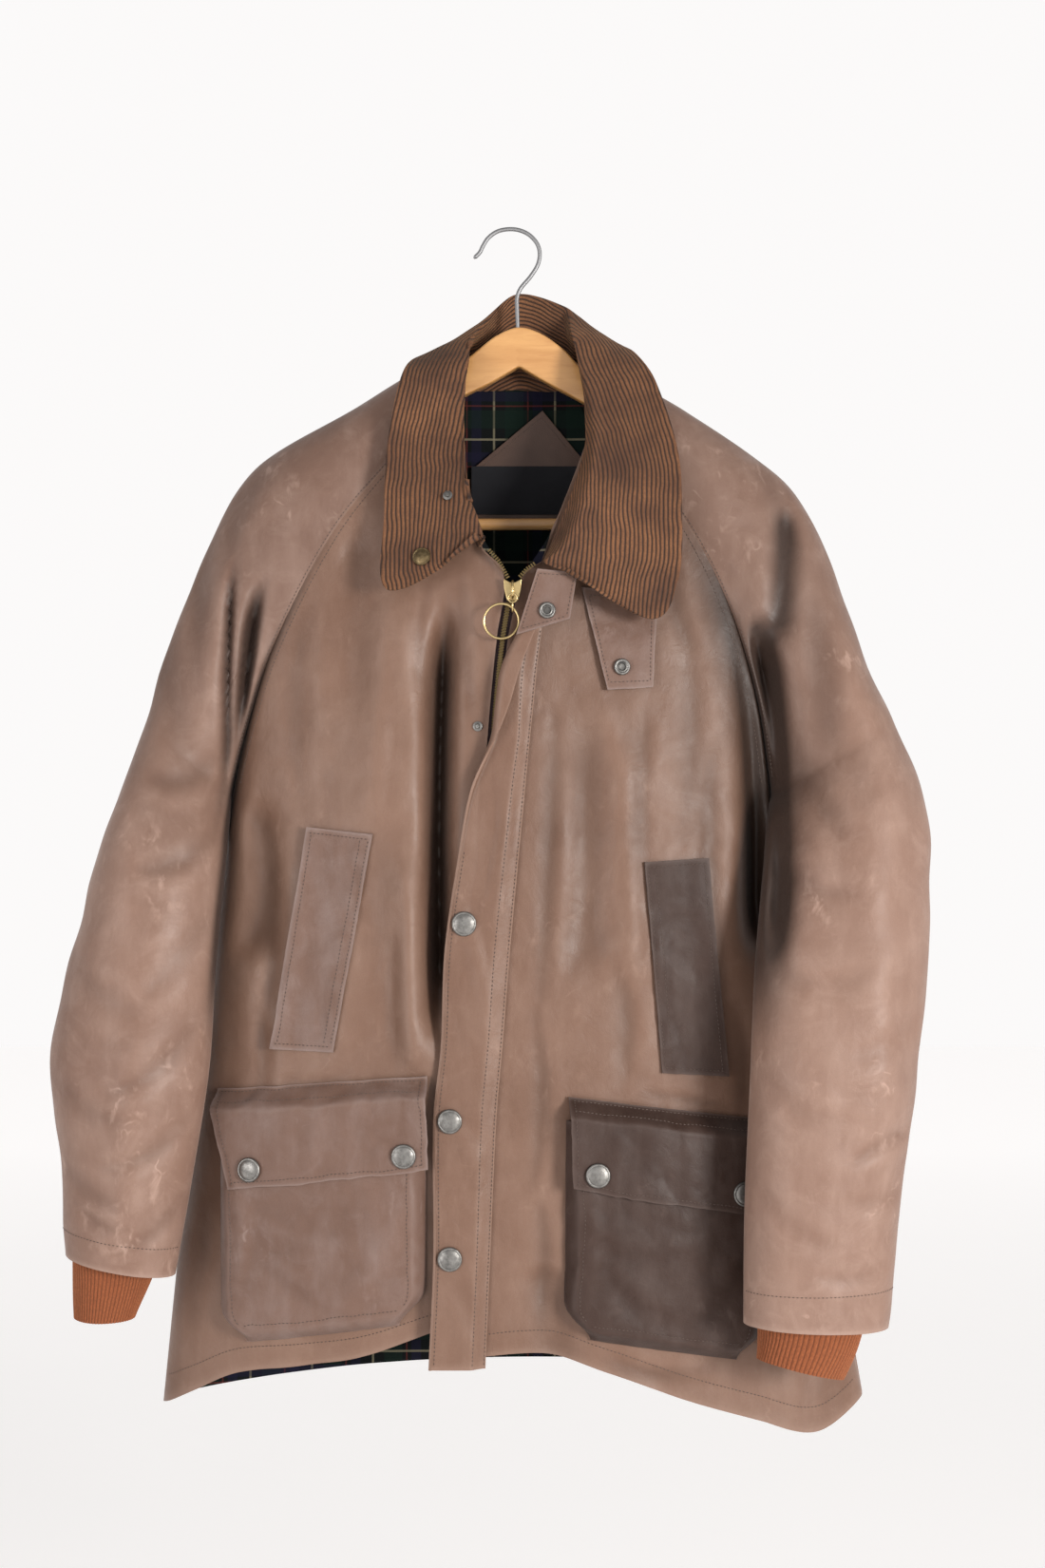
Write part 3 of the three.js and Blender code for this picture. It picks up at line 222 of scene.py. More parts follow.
# The zip line: z, x
ZIP_LINE = [(-940, -43), (-800, -38), (-600, -29), (-500, -21), (-401, -13.5), (-348, -8), (-310, -1.5),
            (-298, 1.5)]

# Stations 0 to 8 are the raglan seam. The panels' hem is at 18 and the sleeves' at 20.
UNDERARM = 8
PANEL_HEM = 18
SLEEVE_HEM = 20
UNDERARM_GAP = 0
# Front raglan seam, then side seam: station, x, y, z
LEFT_EDGE = [
    (0, -66, -36, -163), (2, -105, -44, -204), (4, -150, -49, -262), (6, -197, -44, -352),
    (7, -219, -27, -414),
    (8, -235, -6, -474), (11, -252, 0, -600), (14, -271, 1, -760), (18, -294, 0, -983),
]
RIGHT_EDGE = [
    (0, 68, -36, -163), (2, 108, -43, -205), (4, 146, -49, -256), (6, 182, -46, -330), (7, 203, -34, -400),
    (8, 215, -18, -474), (11, 232, -4, -600), (14, 256, 0, -760), (18, 294, 0, -976),
]
# Back raglan seam: station, x, y, z
LEFT_BACK_EDGE = [
    (0, -64, 20, -134), (2, -98, 24, -176), (4, -142, 27, -244), (6, -196, 24, -346), (7, -219, 12, -412),
    (8, -235, -6, -474),
]
RIGHT_BACK_EDGE = [
    (0, 64, 20, -134), (2, 98, 24, -176), (4, 142, 27, -244), (6, 182, 20, -336), (7, 203, 4, -404),
    (8, 215, -18, -474),
]
# Middle edge of each front: station, x, y, z, roundness across
LEFT_MIDDLE = [
    (0, -25, -76, -276, 1), (1.4, -7, -77, -299, 1), (3, -12.5, -78, -345, 1.05), (5, -18, -78, -400, 1.15),
    (6, -22, -78, -450, 1.35), (8, -31, -78, -560, 2), (11, -37, -78, -660, 2.3), (14, -42, -76, -760, 2.3),
    (18, -47, -70, -905, 2.3),
]
RIGHT_MIDDLE = [
    (0, 24, -76, -286, 1), (1.4, 9, -77, -299, 1), (3, -3, -78, -345, 1.05), (5, -8.8, -78, -400, 1.15),
    (6, -12.8, -78, -450, 1.35), (8, -21.3, -78, -560, 2), (11, -27.8, -78, -660, 2.3),
    (14, -31.8, -77, -760, 2.3),
    (18, -38, -74, -938, 2.3),
]
# Rise of the hem: x, rise
LEFT_HEM = [(-294, 0), (-262, 8), (-227, 14), (-176, 6), (-121, -2), (-66, 0)]
RIGHT_HEM = [(-66, 0), (22, 18), (78, 8), (140, -8), (200, -20), (250, -28), (294, 0)]
HEM_LIFT_STARTS = -780
HEM_LIFT_ENDS = -930


def hem_lift(table, x, z):
    return row_at(table, np.clip(x, table[0][0], table[-1][0]))[1] * smooth(HEM_LIFT_STARTS, HEM_LIFT_ENDS, z)


# The last two entries of each front: the width of its painted shade along the armhole, and its two shares of
# painted shade, overall and more above
LEFT = {"side": -1, "edge": LEFT_EDGE, "middle": LEFT_MIDDLE, "hem": LEFT_HEM, "armhole_shade": 0.022,
        "painted_shade_shares": (0.0, 0.03)}
RIGHT = {"side": 1, "edge": RIGHT_EDGE, "middle": RIGHT_MIDDLE, "hem": RIGHT_HEM, "armhole_shade": 0.1,
         "painted_shade_shares": (0.17, 0.16)}


def seam_gap(k):
    return SEAM_GAP + UNDERARM_GAP * np.exp(-(((k - UNDERARM - 0.4) / 1.1) ** 2))


def front_depth(x, z):
    """Folds, creases and small unevenness of the fronts, inwards"""
    small = 0.9 * ripple(x, z * 0.6, 46, 3) + 0.45 * ripple(x, z, 17, 4) + 0.22 * ripple(x, z, 8, 5)
    return fold_depth(x, z) + crease_depth(x, z, FRONT_CREASES) + small


def front_point(panel, u, k, rough=True):
    _, xe, ye, ze = row_at(panel["edge"], k)
    _, xm, ym, zm, power = row_at(panel["middle"], k)
    x = mix(xe - panel["side"] * seam_gap(k), xm, u)
    flat = mix(ze, zm, u)
    y = ye - SEAM_GAP / 2 + (ym - ye) * (1 - (1 - u) ** power) ** (1 / power)
    fold = front_depth(x, flat) if rough else fold_depth(x, flat)
    return xyz(x, y + fold * smooth(0, 0.12, u), flat + hem_lift(panel["hem"], x, flat))


def panel_at(panel, x, z):
    """Depth of a front panel at x, z"""
    x, z = np.broadcast_arrays(np.asarray(x, float), np.asarray(z, float))
    flat = z - hem_lift(panel["hem"], x, z - hem_lift(panel["hem"], x, z))
    low, high = np.zeros(x.shape), np.full(x.shape, float(PANEL_HEM))
    for _ in range(20):
        k = (low + high) / 2
        _, xe, _, ze = row_at(panel["edge"], k)
        _, xm, _, zm, _ = row_at(panel["middle"], k)
        above = mix(ze, zm, (x - xe) / (xm - xe)) > flat
        low, high = np.where(above, k, low), np.where(above, high, k)
    k = (low + high) / 2
    xe, xm = row_at(panel["edge"], k)[1], row_at(panel["middle"], k)[1]
    return front_point(panel, np.clip((x - xe) / (xm - xe), 0, 1), k)[..., 1]


def on_front(panel, x, z, out):
    """A point on a front panel moved out from it"""
    d = 4
    slope_x = (panel_at(panel, x + d, z) - panel_at(panel, x - d, z)) / (2 * d)
    slope_z = (panel_at(panel, x, z + d) - panel_at(panel, x, z - d)) / (2 * d)
    normal = xyz(slope_x, -1, slope_z)
    normal /= np.linalg.norm(normal, axis=-1, keepdims=True)
    return xyz(x, panel_at(panel, x, z), z) + normal * np.asarray(out)[..., None]


# The back: station, middle y, roundness across
BACK_MIDDLE = [(0, 27, 1.6), (3, 31, 1.6), (6, 36, 2), (8, 38, 2.1), (11, 40, 2.3), (14, 41, 2.3),
               (18, 40, 2.3)]
# Soft folds of the back: x, z at the top, x, z at the bottom, half width, depth
BACK_FOLDS = [
    (-60, -220, -64, -900, 34, 7), (70, -260, 70, -940, 30, 8), (150, -480, 176, -960, 30, -6),
    (-160, -420, -180, -940, 34, -7),
]
BACK_CREASES = [
    (-150, -300, -110, -360, -60, -380, 10, -2.6),
    (150, -310, 112, -372, 60, -396, 10, -2.6),
    (-170, -520, -120, -560, -50, -566, 10, -2.4),
    (170, -540, 120, -584, 60, -588, 10, -2.4),
    (-30, -420, -24, -520, -34, -640, 12, -2.4),
    (20, -560, 28, -680, 18, -800, 12, -2.4),
    (-210, -640, -160, -690, -90, -700, 9, -2.2),
    (200, -660, 150, -706, 90, -716, 9, -2.2),
    (-120, -740, -112, -840, -124, -930, 12, 2.4),
    (120, -760, 128, -850, 118, -940, 12, 2.4),
]
BACK_HEM_RISE = 22


def back_point(u, k, rough=True):
    upper = k < UNDERARM
    _, xl, yl, zl = np.where(upper, row_at(LEFT_BACK_EDGE, k), row_at(LEFT_EDGE, k))
    _, xr, yr, zr = np.where(upper, row_at(RIGHT_BACK_EDGE, k), row_at(RIGHT_EDGE, k))
    _, ym, power = row_at(BACK_MIDDLE, k)
    x = mix(xl + seam_gap(k), xr - seam_gap(k), u)
    z = mix(zl, zr, u)
    edge = np.abs(2 * u - 1)
    side = mix(yl, yr, u) + SEAM_GAP / 2
    y = side + (ym - side) * (1 - edge**power) ** (1 / power)
    for xa, za, xb, zb, half, deep in BACK_FOLDS:
        t = np.clip((z - za) / (zb - za), 0, 1)
        y = y - deep * np.sin(math.pi * t) * np.exp(-(((x - mix(xa, xb, t)) / half) ** 2))
    if rough:
        small = 0.9 * ripple(x, z * 0.6, 48, 13) + 0.4 * ripple(x, z, 17, 14)
        y = y + (crease_depth(x, z, BACK_CREASES) + small) * smooth(1, 0.9, edge)
    return xyz(x, y, z + BACK_HEM_RISE * (1 - edge**2) * smooth(HEM_LIFT_STARTS, HEM_LIFT_ENDS, z))


# Outer line of a sleeve: station, x, y, z, front bulge, back bulge, share of the round tube
LEFT_OUTER = [
    (0, -72, -3, -113, 2, 2, 0), (1, -100, -4, -130, 3, 3, 0), (2, -134, -2, -151, 4, 3, 0),
    (4, -206, 0, -192, 8, 6, 0),
    (5, -233, -4, -222, 11, 9, 0.15), (6, -256, -10, -270, 20, 16, 0.4), (7, -281, -20, -334, 34, 30, 0.75),
    (8, -304, -27, -410, 44, 42, 0.95), (10, -334, -40, -503, 52, 44, 1), (12.5, -360, -54, -603, 54, 42, 1),
    (14.5, -376, -62, -688, 52, 42, 1), (17, -365, -66, -770, 46, 40, 1), (20, -364, -66, -846, 40, 36, 1),
]
RIGHT_OUTER = [
    (0, 73, -3, -108, 2, 2, 0), (1, 106, -4, -130, 3, 3, 0), (2, 144, -2, -152, 4, 3, 0),
    (4, 208, 0, -195, 8, 6, 0),
    (5, 238, -4, -224, 13, 9, 0.15), (6, 266, -14, -280, 28, 16, 0.4), (7, 290, -30, -356, 44, 28, 0.75),
    (8, 312, -46, -414, 52, 36, 0.95), (10, 337, -60, -484, 54, 40, 1), (12.5, 335, -82, -600, 50, 42, 1),
    (14.5, 323, -94, -696, 48, 42, 1), (17, 311, -98, -790, 44, 38, 1), (20, 300, -98, -898, 38, 34, 1),
]
# Inner line below the underarm: station, x, y, z
LEFT_INNER = [
    (8, -235, -6, -474), (9, -236, -24, -500), (10, -236, -43, -530), (12.5, -242, -60, -615),
    (14.5, -246, -70, -695),
    (17, -259, -74, -782), (20, -273, -74, -862),
]
RIGHT_INNER = [
    (8, 215, -18, -474), (9, 209, -44, -496), (10, 204, -66, -530), (12.5, 194, -94, -612),
    (14.5, 189, -106, -700),
    (17, 184, -112, -800), (20, 183, -112, -892),
]
# The last two entries of each sleeve: the width of its painted shade along the inner seam by the body, and
# its two shares of painted shade, overall and more above
LEFT_SLEEVE = {"side": -1, "edge": LEFT_EDGE, "back": LEFT_BACK_EDGE, "inner": LEFT_INNER,
               "outer": LEFT_OUTER,
                "armhole_shade": 0.03, "painted_shade_shares": (0.3, 0.26)}
RIGHT_SLEEVE = {"side": 1, "edge": RIGHT_EDGE, "back": RIGHT_BACK_EDGE, "inner": RIGHT_INNER,
                "outer": RIGHT_OUTER,
                 "armhole_shade": 0.17, "painted_shade_shares": (0.13, 0.46)}


def sleeve_point(sleeve, u, k, rough=True):
    side = sleeve["side"]
    _, ox, oy, oz, front, back, tube = row_at(sleeve["outer"], k)
    forward = u < 0.5
    above = np.where(forward, row_at(sleeve["edge"], k), row_at(sleeve["back"], k))
    _, x0, y0, z0 = np.where(k >= UNDERARM, row_at(sleeve["inner"], k), above)
    s = (1 - np.cos(2 * math.pi * u)) / 2
    around = 2 * np.sqrt(np.maximum(0, s * (1 - s)))
    cap = np.sqrt(np.maximum(0, 1 - s**2.4))
    way = np.where(forward, -1, 1)
    bulge = way * np.where(forward, front, back)
    x = mix(x0 + side * SEAM_GAP, ox, s)
    z = mix(z0, oz, s)
    lying = oy + (y0 - oy) * cap + bulge * np.sin(math.pi * s) * 0.6
    hanging = mix(y0, oy, s) + bulge * around
    y = mix(lying, hanging, tube) + way * SEAM_GAP * (1 - s)
    fold = np.where(forward, fold_depth(x, z), 0) * smooth(0, 0.15, s) * smooth(1, 0.7, s)
    if rough:
        seed = 23 + side
        small = 1.0 * ripple(x, z, 42, seed) + 0.5 * ripple(x, z * 1.2, 16, seed + 5)
        small = small + 0.25 * ripple(x, z, 8, seed + 9)
        creased = np.where(forward, crease_depth(x, z, SLEEVE_CREASES),
                           crease_depth(x, z, SLEEVE_BACK_CREASES))
        fold = fold + (creased + small) * smooth(0, 0.08, s) * smooth(1, 0.93, s)
        x = x + side * 1.6 * ripple(0 * x, z, 34, seed + 11) * smooth(0.6, 1, s) * smooth(-240, -320, z)
    return xyz(x, y + fold, z)


# Way round, neck seam x, y, z, roll line x, y, z, outer edge x, y, z, roll half width
COLLAR = [
    (0, -26, -81, -275, -23, -90, -270, -30, -92, -264, 1.6),
    (0.05, -36, -76, -252, -27, -89, -256, -72, -90, -300, 3),
    (0.12, -47, -69, -228, -34, -82, -236, -104, -84, -306, 4.5),
    (0.22, -56, -54, -196, -38, -68, -202, -104, -74, -246, 6),
    (0.31, -60, -36, -162, -40, -47, -158, -102, -62, -188, 7),
    (0.37, -61, -18, -128, -37, -33, -118, -93, -50, -136, 8),
    (0.41, -58, 2, -105, -33, -12, -93, -83, -18, -112, 8),
    (0.45, -48, 18, -129, -22, 9, -74, -62, 20, -100, 7),
    (0.5, 2, 21.5, -130, 3, 26, -48, 4, 42, -80, 6),
    (0.55, 47, 19, -129, 42, 14, -60, 70, 27, -88, 7),
    (0.58, 57, 11, -106, 47, 4, -72, 94, 8, -95, 8),
    (0.61, 64, -5, -103, 49, -14, -90, 106, -20, -110, 8),
    (0.64, 65, -16, -124, 54, -28, -114, 118, -42, -134, 8),
    (0.7, 62, -35, -164, 64, -47, -154, 134, -60, -190, 7),
    (0.79, 57, -53, -198, 66, -67, -198, 137, -76, -246, 6),
    (0.88, 46, -69, -234, 56, -84, -244, 133, -86, -302, 4.5),
    (0.95, 35, -76, -262, 42, -92, -274, 110, -91, -333, 3),
    (1, 25, -81, -286, 24, -94, -287, 46, -99, -293, 1.6),
]
COLLAR_CENTRE = (2, -20, -150)


def unit(v):
    return v / np.maximum(np.linalg.norm(v, axis=-1, keepdims=True), 1e-9)


def through(knots, u):
    """Centripetal curve through a list of point arrays, u from 0 to 1"""
    count = len(knots)
    ends = [2 * knots[0] - knots[1], *knots, 2 * knots[-1] - knots[-2]]
    stack = np.stack(ends)
    place = np.clip(u * (count - 1), 0, count - 1 - 1e-9)
    i = np.floor(place).astype(int)
    w = (place - i)[..., None]
    index = np.indices(i.shape)
    p0, p1, p2, p3 = (stack[(i + d, *index)] for d in range(4))

    def gap(a, b):
        return np.maximum(np.sqrt(np.linalg.norm(b - a, axis=-1, keepdims=True)), 1e-4)

    d0, d1, d2 = gap(p0, p1), gap(p1, p2), gap(p2, p3)
    m1 = ((p1 - p0) / d0 - (p2 - p0) / (d0 + d1) + (p2 - p1) / d1) * d1
    m2 = ((p2 - p1) / d1 - (p3 - p1) / (d1 + d2) + (p3 - p2) / d2) * d1
    return p1 + m1 * w + (-3 * p1 + 3 * p2 - 2 * m1 - m2) * w**2 + (2 * p1 - 2 * p2 + m1 + m2) * w**3


def collar_point(u, t):
    _, nx, ny, nz, rx, ry, rz, ex, ey, ez, half = row_at(COLLAR, t)
    neck, roll, edge = xyz(nx, ny, nz), xyz(rx, ry, rz), xyz(ex, ey, ez)
    side = unit(xyz(rx - COLLAR_CENTRE[0], ry - COLLAR_CENTRE[1], 0 * rx))
    fall, stand = unit(edge - roll), unit(neck - roll)
    lift = unit(side + unit(edge - neck) - 0.3 * fall)
    half = half[..., None]
    inner = roll + stand * half * 1.3 - lift * half * 0.35
    outer = roll + fall * half * 1.5 + lift * half * 0.35
    return through([neck, mix(neck, inner, 0.5), inner, roll, outer, mix(outer, edge, 0.5), edge], u)


# Meshes
def normals_of(points, closed=False):
    if closed:
        du = np.roll(points, -1, 1) - np.roll(points, 1, 1)
    else:
        du = np.gradient(points, axis=1)
    return unit(np.cross(du, np.gradient(points, axis=0)))


def mesh_object(name, points, faces, material, smoothing=50):
    mesh = bpy.data.meshes.new(name)
    mesh.from_pydata((np.asarray(points) * MM).tolist(), [], faces)
    mesh.polygons.foreach_set("use_smooth", [True] * len(mesh.polygons))
    mesh.set_sharp_from_angle(angle=math.radians(smoothing))
    mesh.materials.append(material)
    obj = bpy.data.objects.new(name, mesh)
    bpy.context.collection.objects.link(obj)
    return obj


def shell(name, points, thickness, material, closed=False, raised=None, way=None, inside=None, values=None):
    """A cloth wall: points are its outer face, raised lifts it, way is its direction, inside is the
    lining's material, values go on its vertices"""
    rows, cols = points.shape[:2]
    normal = normals_of(points, closed)
    if way is not None and (normal[rows // 2, cols // 4] * np.asarray(way)).sum() < 0:
        normal = -normal
    height = np.zeros((rows, cols)) if raised is None else raised
    outer = points + normal * height[..., None]
    inner = points - normal * thickness
    count = rows * cols
    i = np.arange(cols if closed else cols - 1)
    j = np.arange(rows - 1)[:, None]
    nxt = (i + 1) % cols
    a, b, c, d = j * cols + i, j * cols + nxt, (j + 1) * cols + nxt, (j + 1) * cols + i
    front = np.stack([a, b, c, d], -1).reshape(-1, 4)
    back = np.stack([d, c, b, a], -1).reshape(-1, 4) + count
    top = np.stack([i + count, nxt + count, nxt, i], -1)
    base = (rows - 1) * cols
    bottom = np.stack([i + base, nxt + base, nxt + base + count, i + base + count], -1)
    faces = [front, back, top, bottom]
    if not closed:
        r = np.arange(rows - 1) * cols
        faces.append(np.stack([r, r + cols, r + cols + count, r + count], -1))
        e = r + cols - 1
        faces.append(np.stack([e + count, e + cols + count, e + cols, e], -1))
    faces = np.concatenate(faces)
    everything = np.concatenate([outer.reshape(-1, 3), inner.reshape(-1, 3)])
    p = everything[faces]
    volume = (p[:, 0] * np.cross(p[:, 1], p[:, 2])).sum() + (p[:, 0] * np.cross(p[:, 2], p[:, 3])).sum()
    if volume < 0:
        faces = faces[:, ::-1]
    obj = mesh_object(name, everything, faces.tolist(), material)
    if inside:
        obj.data.materials.append(inside)
        lined = np.zeros(len(faces), int)
        lined[len(front):2 * len(front)] = 1
        obj.data.polygons.foreach_set("material_index", lined)
    attribute = obj.data.attributes.new("height", "FLOAT", "POINT")
    top_height = height / height.max() if height.max() > 0 else height
    attribute.data.foreach_set("value", np.concatenate([top_height.ravel(), np.full(count, 0.5)]))
    for key, value in (values or {}).items():
        attribute = obj.data.attributes.new(key, "FLOAT", "POINT")
        attribute.data.foreach_set("value", np.tile(value.ravel(), 2))
    return obj


def grid(nu, nv, su=None, sv=None):
    u, v = np.linspace(0, 1, nu), np.linspace(0, 1, nv)
    return np.meshgrid(su(u) if su else u, sv(v) if sv else v)


def place(obj, slot, nodes=(), body=GARMENT):
    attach(obj, body)
    if nodes:
        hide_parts(*nodes)
    return obj


def swept(name, path, radius, material, sides=12, closed=False, ends=True):
    """A round rod along a path"""
    path = np.asarray(path, float)
    if closed:
        way = unit(np.roll(path, -1, 0) - np.roll(path, 1, 0))
    else:
        way = unit(np.gradient(path, axis=0))
    up = np.array([0, 1.0, 0]) if np.abs(way[:, 1]).max() < 0.9 else np.array([1.0, 0, 0])
    side = unit(np.cross(way, up))
    other = np.cross(way, side)
    angle = np.linspace(0, 2 * math.pi, sides, endpoint=False)[None, :, None]
    radius = np.broadcast_to(np.asarray(radius, float), len(path))[:, None, None]
    ring = path[:, None] + radius * (np.cos(angle) * side[:, None] + np.sin(angle) * other[:, None])
    n = len(path)
    i = np.arange(sides)
    j = np.arange(n if closed else n - 1)[:, None]
    nj, ni = (j + 1) % n, (i + 1) % sides
    quads = np.stack([j * sides + i, j * sides + ni, nj * sides + ni, nj * sides + i],
                     -1).reshape(-1, 4).tolist()
    if not closed and ends:
        quads.append(list(range(sides))[::-1])
        quads.append([(n - 1) * sides + k for k in range(sides)])
    return mesh_object(name, ring.reshape(-1, 3), quads, material)


def turned(name, profile, centre, normal, material, sides=48):
    """A round part turned about its axis. profile is radius, height"""
    normal = unit(np.asarray(normal, float))
    side = unit(np.cross(normal, [0.0, 0, 1]))
    other = np.cross(normal, side)
    angle = np.linspace(0, 2 * math.pi, sides, endpoint=False)
    points, faces = [], []
    for r, h in profile:
        spokes = np.outer(np.cos(angle), side) + np.outer(np.sin(angle), other)
        ring = np.asarray(centre) + normal * h + r * spokes
        points.append(ring)
    for j in range(len(profile) - 1):
        for i in range(sides):
            n = (i + 1) % sides
            faces.append([j * sides + i, j * sides + n, (j + 1) * sides + n, (j + 1) * sides + i])
    faces.append(list(range(sides))[::-1])
    faces.append([(len(profile) - 1) * sides + i for i in range(sides)])
    return mesh_object(name, np.concatenate(points), faces, material, 40)


STITCHES = {"points": [], "faces": []}


def stitch_line(path, normal, pitch=3.3, length=2.4, width=0.45):
    """Stitches along a path of points, lying on its surface"""
    path = np.asarray(path, float)
    far = np.concatenate([[0], np.cumsum(np.linalg.norm(np.diff(path, axis=0), axis=1))])
    at = np.arange(pitch / 2, far[-1], pitch)
    if not len(at):
        return
    centre = np.stack([np.interp(at, far, path[:, k]) for k in range(3)], -1)
    ahead = np.stack([np.interp(at + 1, far, path[:, k]) for k in range(3)], -1)
    behind = np.stack([np.interp(at - 1, far, path[:, k]) for k in range(3)], -1)
    up = np.stack([np.interp(at, far, np.broadcast_to(normal, path.shape)[:, k]) for k in range(3)], -1)
    along = unit(ahead - behind)
    across = unit(np.cross(along, up))
    up = np.cross(across, along)
    c = centre + up * 0.1
    six = [c - along * length / 2, c + across * width, c + up * width, c - across * width, c - up * width,
           c + along * length / 2]
    first = sum(len(p) for p in STITCHES["points"])
    STITCHES["points"].append(np.stack(six, 1).reshape(-1, 3))
    tris = np.array([(0, 1, 2), (0, 2, 3), (0, 3, 4), (0, 4, 1), (5, 2, 1), (5, 3, 2), (5, 4, 3), (5, 1, 4)])
    STITCHES["faces"] += (tris[None] + first + 6 * np.arange(len(at))[:, None, None]).reshape(-1, 3).tolist()


def surface_stitches(S, a, b, out=0.1, **sizes):
    """Stitches over a surface function of two numbers, along arrays a, b"""
    a, b = np.broadcast_arrays(np.asarray(a, float), np.asarray(b, float))
    points = S(a, b)
    d = 0.004
    across = S(np.clip(a + d, 0, 1), b) - S(np.clip(a - d, 0, 1), b)
    down = S(a, np.clip(b + d, 0, 1)) - S(a, np.clip(b - d, 0, 1))
    normal = unit(np.cross(across, down))
    normal = np.where(normal[:, 1:2] > 0, -normal, normal)
    stitch_line(points + normal * out, normal, **sizes)


# Materials
class Look:
    """A procedural material on one principled shader"""

    def __init__(self, name, **values):
        self.material = bpy.data.materials.new(name)
        self.material.use_nodes = True
        self.tree = self.material.node_tree
        self.shader = self.tree.nodes["Principled BSDF"]
        self.place = self.add("ShaderNodeTexCoord").outputs["Object"]
        for key, value in values.items():
            self.shader.inputs[key.replace("_", " ")].default_value = value

    def add(self, kind, inputs=None, **settings):
        node = self.tree.nodes.new(kind)
        for key, value in settings.items():
            setattr(node, key, value)
        for key, value in (inputs or {}).items():
            self.give(node.inputs[key], value)
        return node

    def give(self, socket, value):
        if isinstance(value, bpy.types.NodeSocket):
            self.tree.links.new(value, socket)
        else:
            socket.default_value = value

    def set(self, name, value):
        self.give(self.shader.inputs[name], value)

    def noise(self, scale, detail=4, rough=0.55, stretch=None, distortion=0):
        place = self.place
        if stretch:
            place = self.add("ShaderNodeMapping", {"Vector": place, "Scale": stretch}).outputs["Vector"]
        values = {"Vector": place, "Scale": scale, "Detail": detail, "Roughness": rough,
                  "Distortion": distortion}
        return self.add("ShaderNodeTexNoise", values).outputs["Fac"]

    def ramp(self, value, *stops):
        node = self.add("ShaderNodeMapRange", {"Value": value})
        node.inputs["From Min"].default_value, node.inputs["From Max"].default_value = stops[0], stops[1]
        node.inputs["To Min"].default_value, node.inputs["To Max"].default_value = stops[2], stops[3]
        return node.outputs["Result"]

    def colours(self, value, a, b):
        node = self.add("ShaderNodeMix", data_type="RGBA")
        self.give(node.inputs["Factor"], value)
        self.give(node.inputs["A"], a if isinstance(a, bpy.types.NodeSocket) else (*a, 1))
        self.give(node.inputs["B"], b if isinstance(b, bpy.types.NodeSocket) else (*b, 1))
        return node.outputs["Result"]

    def maths(self, kind, a, b=0.0):
        node = self.add("ShaderNodeMath", operation=kind)
        self.give(node.inputs[0], a)
        self.give(node.inputs[1], b)
        return node.outputs[0]

    def axis(self, name):
        return self.add("ShaderNodeSeparateXYZ", {"Vector": self.place}).outputs[name]

    def bump(self, height, strength, distance, under=None):
        node = self.add("ShaderNodeBump", {"Height": height, "Strength": strength, "Distance": distance})
        if under is not None:
            self.give(node.inputs["Normal"], under)
        self.set("Normal", node.outputs["Normal"])
        return node.outputs["Normal"]


def waxed(name, dark, mid, light, gloss, scuff):
    """Waxed cotton: mottled wax, rubbed ridges, pale curved marks where it was bent, painted shade in
    hollows, painted shade and light from the shade attribute, a fine weave
    """
    look = Look(name, Specular_IOR_Level=0.27, Sheen_Weight=0.05, Sheen_Roughness=0.45)
    patches = look.noise(7, 6, 0.65, distortion=0.6)
    colour = look.colours(look.ramp(patches, 0.3, 0.72, 0, 1), dark, mid)
    streaks = look.noise(26, 4, 0.6, stretch=(1.6, 1, 0.5))
    colour = look.colours(look.ramp(streaks, 0.45, 0.8, 0, 0.4), colour, light)
    haze = look.ramp(look.noise(30, 5, 0.7, distortion=1.2), 0.5, 0.78, 0, 0.6 * scuff)
    colour = look.colours(haze, colour, light)
    pale = tuple(1.3 * c for c in light)
    rubbed = look.ramp(look.noise(15, 3, 0.6), 0.5, 0.68, 0, 1)
    dashes = look.ramp(look.noise(75, 3, 0.6, stretch=(1, 1, 0.5), distortion=0.4), 0.58, 0.7, 0, scuff)
    colour = look.colours(look.maths("MULTIPLY", dashes, rubbed), colour, pale)
    off = look.maths("ABSOLUTE", look.maths("SUBTRACT", look.noise(40, 2, 0.5, distortion=0.3), 0.5))
    stroke = look.ramp(off, 0.0, 0.03, scuff, 0)
    line = look.maths("MULTIPLY", stroke, look.ramp(look.noise(52, 2), 0.56, 0.66, 0, 1))
    colour = look.colours(look.maths("MULTIPLY", line, rubbed), colour, pale)
    # Ridges are lighter as rubbed wear; hollows are painted darker, as painted shade
    ridge = look.add("ShaderNodeNewGeometry").outputs["Pointiness"]
    colour = look.colours(look.ramp(ridge, 0.5, 0.56, 0, 0.45), colour, light)
    colour = look.colours(look.ramp(ridge, 0.5, 0.44, 0, 0.5), colour, tuple(0.55 * c for c in dark))
    # Painted shade where the shade attribute is positive, toward a tenth of the dark colour; painted lighter
    # where it is negative
    deep = look.add("ShaderNodeAttribute", attribute_name="shade").outputs["Fac"]
    colour = look.colours(look.ramp(deep, 0, -1, 0, 0.6), colour, light)
    colour = look.colours(look.ramp(deep, 0, 1, 0, 0.93), colour, tuple(0.1 * c for c in dark))
    weave = look.noise(1400, 2, 0.7)
    colour = look.colours(look.ramp(weave, 0.3, 0.7, 0.0, 0.16), colour, tuple(0.6 * c for c in dark))
    look.set("Base Color", colour)
    wax = look.noise(19, 5, 0.65, distortion=0.8)
    look.set("Roughness", look.ramp(wax, 0.35, 0.7, gloss, gloss + 0.2))
    crinkle = look.noise(70, 6, 0.62, distortion=0.5)
    under = look.bump(crinkle, 0.42, 0.0016)
    look.bump(weave, 0.22, 0.0004, under)
    return look.material


